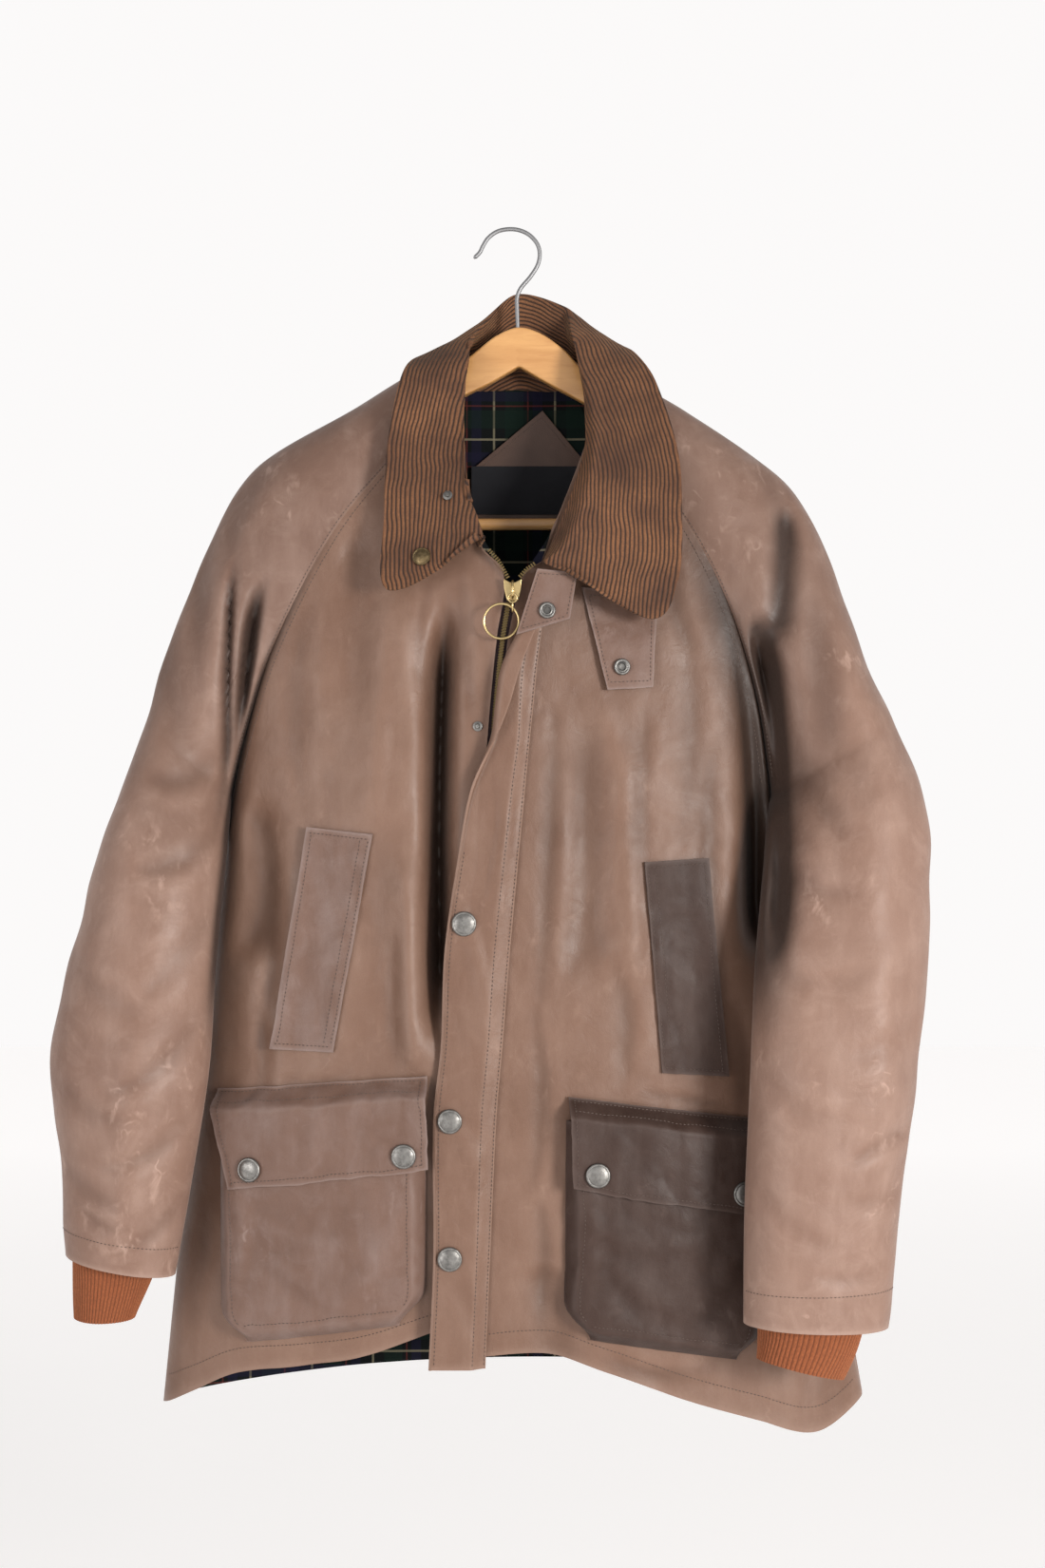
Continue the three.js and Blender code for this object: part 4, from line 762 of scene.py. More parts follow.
WAX = waxed("waxed_cotton", (0.125, 0.066, 0.043), (0.17, 0.096, 0.066), (0.24, 0.154, 0.116), 0.38, 0.3)
WAX_SLEEVE = waxed("waxed_cotton_sleeves", (0.165, 0.092, 0.066), (0.22, 0.132, 0.097), (0.33, 0.225, 0.18),
                   0.42, 0.6)
WAX_POCKET = waxed("waxed_cotton_pocket", (0.105, 0.057, 0.04), (0.152, 0.089, 0.067), (0.225, 0.17, 0.155),
                   0.42, 0.4)
# A shaded copy of the pocket cloth for the right welt, pocket and flap: its darker colours are painted shade
WAX_POCKET_SHADED = waxed("waxed_cotton_dark", (0.026, 0.012, 0.008), (0.04, 0.02, 0.014), (0.085, 0.058, 0.049), 0.5,
                 0.3)

CORD = Look("corduroy", Roughness=0.86, Sheen_Weight=0.14, Sheen_Roughness=0.35,
            Sheen_Tint=(0.75, 0.45, 0.2, 1))
wale = CORD.add("ShaderNodeAttribute", attribute_name="wale").outputs["Fac"]
wander = CORD.ramp(CORD.noise(26, 2, 0.5), 0.3, 0.7, -0.4, 0.4)
wale = CORD.maths("ADD", wale, wander)
wale = CORD.maths("ABSOLUTE", CORD.maths("SINE", CORD.maths("MULTIPLY", wale, math.pi)))
wear_and_crease_shade = CORD.noise(20, 5, 0.65)
pile = CORD.noise(620, 4, 0.75)
crest = CORD.colours(CORD.ramp(wear_and_crease_shade, 0.35, 0.68, 0, 1), (0.07, 0.024, 0.0085), (0.2, 0.082, 0.031))
tuft = CORD.colours(CORD.ramp(pile, 0.35, 0.7, 0, 0.6), crest, (0.05, 0.019, 0.007))
# Painted shade: the grooves between the wales are painted near black
CORD.set("Base Color", CORD.colours(CORD.ramp(wale, 0.15, 0.85, 0, 1), (0.017, 0.006, 0.0025), tuft))
under = CORD.bump(pile, 0.45, 0.0006)
CORD.bump(wale, 0.9, 0.0011, under)

KNIT = Look("rib_knit", Roughness=0.92, Sheen_Weight=0.3, Sheen_Roughness=0.5, Sheen_Tint=(0.9, 0.5, 0.25, 1))
rib = KNIT.add("ShaderNodeAttribute", attribute_name="height").outputs["Fac"]
loops = KNIT.noise(900, 2, 0.6, stretch=(1, 1, 0.6))
yarn = KNIT.colours(KNIT.ramp(loops, 0.3, 0.7, 0, 1), (0.15, 0.038, 0.01), (0.24, 0.066, 0.019))
# Painted shade: the knit is painted darker low between the ribs
KNIT.set("Base Color", KNIT.colours(KNIT.ramp(rib, 0.0, 0.6, 0, 1), (0.1, 0.025, 0.007), yarn))
KNIT.bump(loops, 0.6, 0.0008)

# The lining: a plain check of dark bands with thin lines, in a layout of its own
LINING = Look("check_lining", Roughness=0.9, Specular_IOR_Level=0.15)
PERIOD = 0.052
# Bands of the check: start and width as shares of its period, strength, colour
BANDS = [
    (0.1, 0.3, 0.5, (0.005, 0.02, 0.013)), (0.55, 0.16, 0.5, (0.012, 0.01, 0.035)),
    (0.9, 0.035, 0.55, (0.34, 0.3, 0.2)), (0.46, 0.025, 0.5, (0.16, 0.03, 0.025)),
]


def band(look, axis, start, width):
    place_in = look.maths("FRACT", look.maths("DIVIDE", look.maths("ADD", look.axis(axis), 1.0), PERIOD))
    above = look.maths("GREATER_THAN", place_in, start)
    return look.maths("MULTIPLY", above, look.maths("LESS_THAN", place_in, start + width))


check = LINING.colours(LINING.noise(900, 2), (0.002, 0.003, 0.004), (0.005, 0.007, 0.007))
for axis in "XZ":
    for start, width, share, dye in BANDS:
        check = LINING.colours(LINING.maths("MULTIPLY", band(LINING, axis, start, width), share), check, dye)
# The whole check is mixed 45% toward black: partly its own dark dye, partly painted shade inside the jacket
LINING.set("Base Color", LINING.colours(0.45, check, (0, 0, 0)))
LINING.bump(LINING.noise(1500, 2), 0.3, 0.0004)
FACING = Look("neck_facing", Roughness=0.6)
FACING.set("Base Color", FACING.colours(FACING.noise(60, 5), (0.05, 0.024, 0.015), (0.08, 0.041, 0.027)))
FACING.bump(FACING.noise(1200, 2), 0.25, 0.0004)
LABEL = Look("woven_label", Roughness=0.75, Specular_IOR_Level=0.2)
LABEL.set("Base Color", LABEL.colours(LABEL.noise(40, 3), (0.006, 0.006, 0.008), (0.014, 0.014, 0.017)))
LABEL.bump(LABEL.noise(1600, 2, stretch=(1, 1, 0.2)), 0.25, 0.0003)
TAPE = Look("zip_tape", Roughness=0.85)
TAPE.set("Base Color", TAPE.colours(TAPE.noise(800, 2), (0.04, 0.022, 0.026), (0.075, 0.045, 0.052)))
TAPE.bump(TAPE.noise(1200, 2), 0.4, 0.0004)
THREAD = Look("thread", Roughness=0.7)
THREAD.set("Base Color", THREAD.colours(THREAD.noise(900, 2), (0.05, 0.032, 0.025), (0.1, 0.068, 0.054)))


def metal(name, dark, light, rough, wear_and_crease_shade=0.5, scale=120):
    look = Look(name, Metallic=1.0)
    tarnish = look.noise(scale, 5, 0.65)
    ridge = look.add("ShaderNodeNewGeometry").outputs["Pointiness"]
    colour = look.colours(look.ramp(tarnish, 0.35, 0.65, 0, wear_and_crease_shade), light, dark)
    look.set("Base Color", look.colours(look.ramp(ridge, 0.5, 0.42, 0, 0.85), colour,
                                        tuple(0.35 * c for c in dark)))
    look.set("Roughness", look.ramp(tarnish, 0.3, 0.7, rough, rough + 0.18))
    look.bump(tarnish, 0.25, 0.0004)
    return look.material


BRASS = metal("aged_brass", (0.3, 0.2, 0.08), (0.62, 0.48, 0.24), 0.24)
ANTIQUE = metal("antique_brass", (0.05, 0.036, 0.02), (0.2, 0.145, 0.075), 0.36, 0.8, 300)
PEWTER = metal("antique_silver", (0.1, 0.096, 0.09), (0.24, 0.232, 0.22), 0.36, 0.8, 240)

STEEL = Look("steel_wire", Metallic=1.0)
drawn = STEEL.noise(40, 4, 0.6)
STEEL.set("Base Color", STEEL.colours(drawn, (0.2, 0.2, 0.205), (0.3, 0.3, 0.305)))
STEEL.set("Roughness", STEEL.ramp(drawn, 0.3, 0.7, 0.5, 0.6))

WOOD = Look("beech", Coat_Weight=0.45, Coat_Roughness=0.2)
joint = WOOD.maths("PINGPONG", WOOD.axis("Z"), 0.0035)
left_half = WOOD.maths("LESS_THAN", WOOD.maths("ADD", WOOD.axis("X"), joint), 0.0055)
grain = WOOD.noise(28, 6, 0.6, stretch=(0.5, 3, 3.2), distortion=0.6)
flecks = WOOD.noise(260, 3, 0.6, stretch=(0.25, 2, 1.6))
base = WOOD.colours(WOOD.ramp(grain, 0.32, 0.7, 0, 1), (0.4, 0.19, 0.058), (0.53, 0.285, 0.1))
base = WOOD.colours(WOOD.ramp(flecks, 0.55, 0.75, 0, 0.45), base, (0.36, 0.155, 0.05))
WOOD.set("Base Color", WOOD.colours(WOOD.maths("MULTIPLY", left_half, 0.22), base, (0.5, 0.26, 0.09)))
WOOD.set("Roughness", WOOD.ramp(grain, 0.3, 0.7, 0.34, 0.5))
WOOD.bump(grain, 0.15, 0.0005)


# Body panels and sleeves
def cosine(u):
    return 1 - np.cos(math.pi / 2 * u)


def half_cosine(u):
    return (1 - np.cos(math.pi * u)) / 2


FORWARD = (0, -1, 0)
BACKWARD = (0, 1, 0)
# Painted shade: each part is painted darker by its first share, and by its second share more above, rising
# between these heights, to tone down the light on the upper parts and the right side
DARKER_FROM, DARKER_TO = -620, -330


def painted_shade_at(part, z):
    share, more_above = part["painted_shade_shares"]
    return share + more_above * smooth(DARKER_FROM, DARKER_TO, z)


for name, panel in (("front_left", LEFT), ("front_right", RIGHT)):
    u, v = grid(126, 200, lambda s: mix(s, cosine(s), 0.5))
    k = v * PANEL_HEM
    points = front_point(panel, u, k)
    x, z = points[..., 0], points[..., 2]
    # Painted shade in creases, folds and the valley by the armhole, each front painted darker by its shares;
    # raised creases and folds are painted lighter, as rubbed wear and painted light
    wear_and_crease_shade = crease_depth(x, z, FRONT_CREASES) / 7
    armhole_shade = np.exp(-((u / panel["armhole_shade"]) ** 2)) * smooth(3, 6.5, k) * smooth(12.5, 10, k)
    fold_shade = np.clip((fold_depth(x, z) - 4) / 26, -0.3, 1)
    shade = np.clip(wear_and_crease_shade + painted_shade_at(panel, z) + fold_shade + armhole_shade, -1, 1)
    cloth = shell(name + "_cloth", points, CLOTH, WAX, way=FORWARD, inside=LINING.material,
                  values={"shade": shade})
    place(cloth, "waxed_cotton", [name])
u, v = grid(84, 140, half_cosine)
cloth = shell("back_cloth", back_point(u, v * PANEL_HEM), CLOTH, WAX, way=BACKWARD, inside=LINING.material)
place(cloth, "waxed_cotton", ["back"])
for name, sleeve in (("sleeve_left", LEFT_SLEEVE), ("sleeve_right", RIGHT_SLEEVE)):
    u, v = grid(136, 190)
    points = sleeve_point(sleeve, u, v * SLEEVE_HEM)
    x, z = points[..., 0], points[..., 2]
    inner = (1 - np.cos(2 * math.pi * u)) / 2
    # Painted shade in creases, the front fold and along the inner seam by the body, each sleeve painted
    # darker by its shares; raised creases are painted lighter, as rubbed wear and painted light
    creased = np.where(u < 0.5, crease_depth(x, z, SLEEVE_CREASES), crease_depth(x, z, SLEEVE_BACK_CREASES))
    fold = np.where(u < 0.5, fold_depth(x, z), 0) * smooth(0, 0.15, inner) * smooth(1, 0.7, inner)
    fold_shade = np.clip((fold - 4) / 11, -0.3, 1)
    near_body = smooth(-300, -420, z) * smooth(-700, -600, z)
    armhole_shade = 1.1 * np.exp(-((inner / sleeve["armhole_shade"]) ** 2)) * near_body
    shade = np.clip(creased / 16 + painted_shade_at(sleeve, z) + fold_shade + armhole_shade, -1, 1)
    cloth = shell(name + "_cloth", points, CLOTH, WAX_SLEEVE, way=FORWARD, inside=LINING.material,
                  values={"shade": shade})
    place(cloth, "waxed_cotton", [name])

# Rib cuffs. Columns: way down, middle x, y, z, half width, half depth, slope across and from front to back
LEFT_CUFF = [
    (0.35, -323, -70, -845, 34, 28, -0.12, 0), (0.6, -325, -71, -866, 31, 26, -0.05, 0),
    (1, -330, -72, -897, 24, 22, 0, 0.03),
]
RIGHT_CUFF = [
    (0.35, 239, -107, -890, 42, 26, -0.06, 0), (0.6, 235, -107, -908, 39, 25, -0.14, 0),
    (1, 228, -106, -930, 34, 25, -0.24, -0.1),
]
CUFF_SEAM_STATION = 18.9
CUFF_SEAM_SHARE = 0.35
CUFF_SEAM_DEPTH = 4.6
RIB_COUNT = 62


def cuff_point(sleeve, table, u, v):
    _, cx, cy, cz, wide, deep, across, along = row_at(table, np.maximum(v, CUFF_SEAM_SHARE))
    angle = 2 * math.pi * u
    dx = sleeve["side"] * wide * -np.cos(angle) * (1 + 0.025 * np.sin(3 * angle + 5 * v))
    dy = -deep * np.sin(angle) * (1 + 0.04 * np.sin(2 * angle + 4 * v))
    free = xyz(cx + dx, cy + dy, cz + across * dx + along * dy)
    sewn = sleeve_point(sleeve, u, CUFF_SEAM_STATION + 0 * u, False)
    ends = [sleeve_point(sleeve, np.array([p]), np.array([CUFF_SEAM_STATION]), False)[0] for p in (0.0, 0.5)]
    sewn = sewn + unit(mix(ends[0], ends[1], 0.5) - sewn) * CUFF_SEAM_DEPTH
    return np.where((v >= CUFF_SEAM_SHARE)[..., None], free,
                    mix(sewn, free, smooth(0, CUFF_SEAM_SHARE, v)[..., None]))


for name, sleeve, table in (("cuff_left", LEFT_SLEEVE, LEFT_CUFF), ("cuff_right", RIGHT_SLEEVE, RIGHT_CUFF)):
    u, v = np.meshgrid(np.arange(4 * RIB_COUNT) / (4 * RIB_COUNT), np.linspace(0, 1, 30))
    ribs = RIB_HEIGHT * np.abs(np.cos(math.pi * RIB_COUNT * u)) ** 0.7
    points = cuff_point(sleeve, table, u, v)
    place(shell(name + "_knit", points, RIB_CLOTH, KNIT.material, closed=True, raised=ribs, way=FORWARD),
          "rib_knit", [name])

# Collar
WALE_PITCH = 3.6
LEFT_TIP, RIGHT_TIP = 0.12, 0.88
u, t = grid(110, 300)
bend = (1.1 * ripple(720 * t, 150 * u, 48, 61) + 0.5 * ripple(720 * t, 150 * u, 18, 62)) * smooth(0, 0.1, u)
points = collar_point(u, t)
points = points + normals_of(points) * bend[..., None]
# The wales run parallel to the outer edge, and the lower edges of the leaves cut across them
way = np.linspace(LEFT_TIP, RIGHT_TIP, 160)
outer_edge = collar_point(0 * way + 1, way)
before = outer_edge[:1] + (outer_edge[:1] - outer_edge[9:10]) * 4
after = outer_edge[-1:] + (outer_edge[-1:] - outer_edge[-10:-9]) * 4
outer_edge = np.concatenate([before, outer_edge, after])
half = points.shape[1] // 2
leaf = points[:, half:]
off = np.full(leaf.shape[:2], 1e9)
for a, b in zip(outer_edge[:-1], outer_edge[1:]):
    along = np.clip(((leaf - a) * (b - a)).sum(-1) / ((b - a) ** 2).sum(), 0, 1)[..., None]
    off = np.minimum(off, np.linalg.norm(leaf - a - (b - a) * along, axis=-1))
step = np.linalg.norm(np.diff(points[:, :half + 1], axis=1), axis=-1)
stand = off[:, :1] + np.cumsum(step[:, ::-1], axis=1)[:, ::-1]
wale_at = np.concatenate([stand, off], axis=1) / WALE_PITCH
collar = shell("collar_corduroy", points, CORDUROY, CORD.material, way=FORWARD, values={"wale": wale_at})
place(collar, "corduroy", ["collar"])


# Pieces sewn on the fronts. Corners: top left, top right, bottom right, bottom left, as x, z
def spot(corners, u, v):
    (ax, az), (bx, bz), (cx, cz), (dx, dz) = corners
    return mix(mix(ax, bx, u), mix(dx, cx, u), v), mix(mix(az, bz, u), mix(dz, cz, u), v)


LEFT_WELT = [(-166, -501), (-113, -506), (-145, -683), (-195, -681)]
RIGHT_WELT = [(106, -529), (158, -526), (175, -704), (121, -700)]
WELT_LIFT = 3


def welt_surface(panel, corners, opening):
    def surface(u, v):
        x, z = spot(corners, u, v)
        lift = WELT_LIFT * smooth(0.4, 0, np.abs(u - opening))
        pucker = 0.8 * ripple(x, 0.6 * z, 7, 71) * smooth(0.45, 0.8, np.abs(u - opening))
        pucker = pucker + 0.4 * ripple(x, z, 16, 72)
        return on_front(panel, x, z, LAY + 0.3 + FLAP_CLOTH + lift + pucker)
    return surface


for name, panel, corners, opening, wax in (("welt_left", LEFT, LEFT_WELT, 0, WAX_POCKET),
                                           ("welt_right", RIGHT, RIGHT_WELT, 1, WAX_POCKET_SHADED)):
    surface = welt_surface(panel, corners, opening)
    u, v = grid(30, 84)
    place(shell(name + "_cloth", surface(u, v), FLAP_CLOTH, wax, way=FORWARD), "waxed_cotton_dark", [name])
    line = np.linspace(0.03, 0.97, 90)
    closed_side = 1 - opening
    for inset in (0.05, 0.17):
        surface_stitches(surface, np.full(90, abs(closed_side - inset)), line)
    for end in (0.025, 0.975):
        surface_stitches(surface, np.linspace(0.05, 0.95, 40), np.full(40, end))
    surface_stitches(surface, np.full(90, abs(opening - 0.09)), line)

# Bellows pockets
LEFT_POCKET = [(-239, -740), (-70, -724), (-70, -901), (-238, -924)]
RIGHT_POCKET = [(43, -737), (203, -757), (203, -938), (42, -912)]
POCKET_CORNER = 0.2
POCKET_CORNER_PULL = 0.13
GUSSET = 12
POCKET_WIDTH = 168
POCKET_HEIGHT = 180
# Creases of the pockets and flaps, outwards: x, z at the start, middle and end, half width, height
POCKET_CREASES = [
    (-226, -800, -190, -826, -120, -838, 8, 1.8), (-90, -800, -110, -850, -150, -890, 8, 1.6),
    (-200, -850, -170, -880, -130, -896, 7, -1.8), (-222, -760, -216, -820, -220, -880, 6, 1.6),
    (56, -806, 90, -832, 150, -836, 8, 1.8), (188, -820, 168, -864, 130, -900, 8, 1.6),
    (70, -850, 96, -886, 140, -904, 7, -1.8), (58, -780, 64, -840, 58, -890, 6, 1.6),
    (-160, -712, -156, -745, -164, -780, 7, 1.4), (-110, -706, -116, -740, -108, -776, 7, -1.2),
    (80, -724, 84, -760, 78, -796, 7, 1.4), (130, -730, 126, -770, 134, -806, 7, -1.4),
]


def pocket_surface(panel, corners):
    def surface(u, v):
        low = smooth(1 - POCKET_CORNER, 1, v) ** 2
        x, z = spot(corners, mix(u, 0.5 + (u - 0.5) * (1 - 2 * POCKET_CORNER_PULL), low), v)
        side = np.minimum(u, 1 - u) * POCKET_WIDTH / GUSSET
        bottom = (1 - v) * POCKET_HEIGHT / GUSSET
        share = np.sqrt(smooth(0, 1, side) * smooth(0, 1, bottom))
        uneven = crease_depth(x, z, POCKET_CREASES) + 0.7 * ripple(x, z, 24, 81) + 0.3 * ripple(x, z, 9, 82)
        return on_front(panel, x, z, LAY + FLAP_CLOTH + (POCKET_DEPTH + uneven) * share)
    return surface


for name, panel, corners, wax in (("pocket_left", LEFT, LEFT_POCKET, WAX_POCKET),
                                  ("pocket_right", RIGHT, RIGHT_POCKET, WAX_POCKET_SHADED)):
    surface = pocket_surface(panel, corners)
    u, v = grid(90, 90, lambda s: mix(s, half_cosine(s), 0.85), lambda s: 1 - (1 - s) ** 1.6)
    place(shell(name + "_cloth", surface(u, v), FLAP_CLOTH, wax, way=FORWARD), "waxed_cotton_dark", [name])
    line = np.linspace(0.02, 0.98, 120)
    for inset in (0.085, 0.915):
        surface_stitches(surface, np.full(120, inset), line * 0.92)
    surface_stitches(surface, mix(0.085, 0.915, line), np.full(120, 0.915))

# Pocket flaps
LEFT_FLAP = [(-241, -716), (-69, -700), (-67, -773), (-224, -795)]
RIGHT_FLAP = [(45, -718), (199, -739), (192, -815), (48, -790)]
FLAP_OVER = POCKET_DEPTH + 2 * FLAP_CLOTH + LAY
FLAP_RISE = 0.22
FLAP_SEAM = 1.3


def flap_out(v):
    return LAY + FLAP_SEAM + FLAP_CLOTH + (FLAP_OVER - FLAP_CLOTH) * smooth(0, FLAP_RISE, v)


def flap_surface(panel, corners):
    def surface(u, v):
        x, z = spot(corners, u, v)
        free = smooth(0.1, 0.4, v)
        uneven = np.maximum(crease_depth(x, z, POCKET_CREASES), -0.5) + 0.4 * ripple(x, z, 20, 91)
        uneven = uneven + 0.25 * ripple(x, z, 8, 92)
        return on_front(panel, x, z, flap_out(v) + (0.5 + uneven) * free)
    return surface


for name, panel, corners, wax in (("flap_left", LEFT, LEFT_FLAP, WAX_POCKET),
                                  ("flap_right", RIGHT, RIGHT_FLAP, WAX_POCKET_SHADED)):
    surface = flap_surface(panel, corners)
    u, v = grid(96, 50)
    place(shell(name + "_cloth", surface(u, v), FLAP_CLOTH, wax, way=FORWARD), "waxed_cotton_dark", [name])
    line = np.linspace(0.02, 0.98, 110)
    for height in (0.035, 0.13, 0.94):
        surface_stitches(surface, line, np.full(110, height))
    for side in (0.03, 0.97):
        surface_stitches(surface, np.full(60, side), np.linspace(0.04, 0.96, 60))

# Storm fly. Columns: z, seam x, fold x, free edge x, depth
FLY = [
    (-938, -22, -66, -66, -83), (-846, -18, -62, -62, -84), (-735, -13, -62, -62, -85),
    (-676, -8, -56, -56, -85),
    (-600, -2, -53, -53, -85), (-524, 5, -42, -42, -85), (-471, 10, -32, -31, -85), (-429, 14, -16, -11, -84),
    (-401, 17, -12, 0, -83.5), (-371, 20, -7, 9, -83.5), (-338, 24, 9, 22, -83.5),
]
FLY_TOP = -338
FLY_BOTTOM = -938
FLY_FOLD_RADIUS = 4
FLY_EDGE_RADIUS = 1.2
FLY_CREASES = [
    (-24, -430, -20, -500, -34, -580, 6, 1.6), (-46, -560, -30, -600, -20, -660, 6, -1.4),
    (-50, -640, -34, -668, -14, -672, 6, 1.3), (-52, -720, -36, -760, -22, -770, 6, -1.4),
    (-50, -800, -38, -816, -24, -812, 5, 1.2), (-58, -860, -44, -900, -30, -920, 6, -1.3),
]


def fly_surface(u, z, rough=True):
    _, seam, fold, free, y = row_at(FLY, z)
    first = seam - fold
    way = u * (first + np.maximum(0, free - fold))
    radius = mix(FLY_EDGE_RADIUS, FLY_FOLD_RADIUS, smooth(-500, -440, z))
    arc = math.pi * radius
    angle = np.clip((way - first + arc / 2) / arc, 0, 1) * math.pi
    past = np.maximum(0, way - first - arc / 2)
    bent = fold + radius * (1 - np.sin(angle)) + past
    x = np.where(angle > 0, bent, seam - way * ((first - radius) / (first - arc / 2)))
    lying = mix(panel_at(RIGHT, seam, z) - LAY - CLOTH, y, smooth(0, 0.3, u))
    if rough:
        uneven = crease_depth(x, z, FLY_CREASES) - 0.35 * ripple(x, z, 22, 101) - 0.2 * ripple(x, z, 8, 102)
        lying = lying + np.minimum(uneven, 0.6) * smooth(0, 0.3, u)
    return xyz(x, lying - radius * (1 - np.cos(angle)), z)


u, v = grid(44, 170)
fly_points = fly_surface(u, mix(FLY_TOP, FLY_BOTTOM, v))
place(shell("storm_fly_cloth", fly_points, CLOTH, WAX, way=FORWARD), "waxed_cotton", ["storm_fly"])


def fly_at(u, v):
    return fly_surface(u, mix(FLY_TOP, FLY_BOTTOM, v))


down = np.linspace(0.005, 0.995, 260)
surface_stitches(fly_at, np.full(260, 0.03), down)
surface_stitches(fly_at, np.full(260, 0.24), down)
edge_stitches = down[down > 0.3]
surface_stitches(fly_at, np.full(len(edge_stitches), 0.93), edge_stitches)

# The fly's top corner, turned over, and the throat tab
FLY_TAB = [(20, -293), (52, -296), (46, -333), (3, -346)]
FLY_TAB_DEPTH = (-92, -89, -95.5, -96.5)
THROAT_TAB = [(56, -306), (118, -312), (113, -387), (76, -390)]
THROAT_SEAT = 0.7
THROAT_OUT = 4


def fly_tab_surface(u, v):
    x, z = spot(FLY_TAB, u, v)
    a, b, c, d = FLY_TAB_DEPTH
    return xyz(x, mix(mix(a, b, u), mix(d, c, u), v) - 0.3 * (1 + ripple(x, z, 14, 111)), z)


def throat_surface(u, v):
    x, z = spot(THROAT_TAB, u, v)
    lift = mix(THROAT_SEAT, THROAT_OUT, smooth(0.1, 0.6, v)) + 0.5 * (1 + ripple(x, z, 20, 112)) * v
    return on_front(RIGHT, x, z, FLAP_CLOTH + lift)


u, v = grid(40, 40)
tab_points = fly_tab_surface(u, v)
place(shell("fly_tab_cloth", tab_points, FLAP_CLOTH, WAX_POCKET, way=FORWARD), "waxed_cotton_dark",
      ["fly_tab"])
u, v = grid(44, 60)
throat_points = throat_surface(u, v)
place(shell("throat_tab_cloth", throat_points, FLAP_CLOTH, WAX_POCKET, way=FORWARD), "waxed_cotton_dark",
      ["throat_tab"])
line = np.linspace(0.07, 0.93, 40)
for surface in (fly_tab_surface, throat_surface):
    for edge in (0.07, 0.93):
        surface_stitches(surface, np.full(40, edge), line)
        surface_stitches(surface, line, np.full(40, edge))


# Metal parts
def facing_of(surface, a, b, da, db):
    """A point of a surface and the way that it faces, towards the front"""
    a, b = np.array([float(a)]), np.array([float(b)])
    across = surface(a + da, b) - surface(a - da, b)
    normal = unit(np.cross(across, surface(a, b + db) - surface(a, b - db)))[0]
    return surface(a, b)[0], -normal if normal[1] > 0 else normal


CAP_GAP = 0.8
CAP = [(9.2, 0), (9.9, 0.5), (10, 1.2), (9.7, 1.9), (9.1, 2.3), (8.5, 2.35), (8.1, 2.2), (7.7, 2.35),
       (7, 2.75), (5, 3.15),
       (2.5, 3.35), (0.4, 3.4)]
SOCKET = [(6.4, 0), (6.75, 0.4), (6.75, 1.5), (6.3, 2.3), (5.7, 2.6), (4.9, 2.5), (4.3, 2.0), (3.7, 2.1),
          (3.3, 2.5),
          (2.9, 2.2), (2.5, 1.2), (0.3, 1.0)]
STUD = [(3.7, 0), (4, 0.4), (3.9, 1.0), (3.1, 1.3), (2.0, 1.6), (2.0, 2.4), (1.6, 2.9), (0.3, 3)]
PIN = [(7.2, 0), (7.5, 0.4), (7.5, 1.2), (7.1, 1.7), (6.5, 1.8), (6.1, 1.55), (5.7, 1.75), (4, 2.5),
       (2, 2.9), (0.3, 3)]
for i, z in enumerate((-578, -737, -848)):
    _, seam, fold, _, _ = row_at(FLY, np.array(float(z)))
    centre, normal = facing_of(lambda a, b: fly_surface(a, b, False), 1 - 12 / (seam - fold), z, 0.15, 8)
    name = f"fly_cap_{i + 1}"
    place(turned(name + "_dome", [(r, h + CAP_GAP) for r, h in CAP], centre, normal, PEWTER),
          "antique_silver", [name])
FLAP_CAPS = [
    ("flap_cap_left_1", LEFT, LEFT_FLAP, 0.13, 0.82), ("flap_cap_left_2", LEFT, LEFT_FLAP, 0.88, 0.82),
    ("flap_cap_right_1", RIGHT, RIGHT_FLAP, 0.14, 0.8), ("flap_cap_right_2", RIGHT, RIGHT_FLAP, 0.93, 0.8),
]
for name, panel, corners, a, b in FLAP_CAPS:
    x, z = spot(corners, a, b)
    x, z = np.array([x]), np.array([z])
    centre = on_front(panel, x, z, [flap_out(b) + 0.5])[0]
    normal = unit(centre - on_front(panel, x, z, [0.0])[0])
    place(turned(name + "_dome", [(r, h + 0.6) for r, h in CAP], centre, normal, PEWTER), "antique_silver",
          [name])
centre, normal = facing_of(fly_tab_surface, 0.5, 0.72, 0.1, 0.1)
place(turned("fly_tab_socket_ring", [(r, h + 0.7) for r, h in SOCKET], centre, normal, PEWTER),
      "antique_silver", ["fly_tab_socket"])
centre, normal = facing_of(
    lambda x, z: on_front(RIGHT, x, z, np.full(np.shape(x), THROAT_OUT + FLAP_CLOTH)), 88, -371, 6, 6)
place(turned("throat_tab_socket_ring", [(r, h + 1.2) for r, h in SOCKET], centre, normal, PEWTER),
      "antique_silver",
      ["throat_tab_socket"])
centre, normal = facing_of(lambda x, z: on_front(LEFT, x, z, np.full(np.shape(x), 0.0)), -28, -419, 4, 4)
place(turned("front_stud_post", [(r, h + 0.3) for r, h in STUD], centre, normal, PEWTER), "antique_silver",
      ["front_stud"])
collar_front = {
    "collar_stud": (0.72, 0.17, STUD, PEWTER, "antique_silver"),
    "collar_pin": (0.86, 0.1, PIN, ANTIQUE, "brass"),
}
for name, (a, b, profile, material, slot) in collar_front.items():
    centre, normal = facing_of(collar_point, a, b, 0.03, 0.02)
    lifted = [(r, h + CAP_GAP + 0.35) for r, h in profile]
    place(turned(name + "_head", lifted, centre, normal, material), slot, [name])

# Zip: tapes, closed teeth below the slider, open teeth above it
TAPE_WIDTH = 7.5
TAPE_THICKNESS = 0.9
SLIDER_BOTTOM = -318
CHAIN_BOTTOM = -900


def zip_x(z):
    return row_at(ZIP_LINE, z)[1]


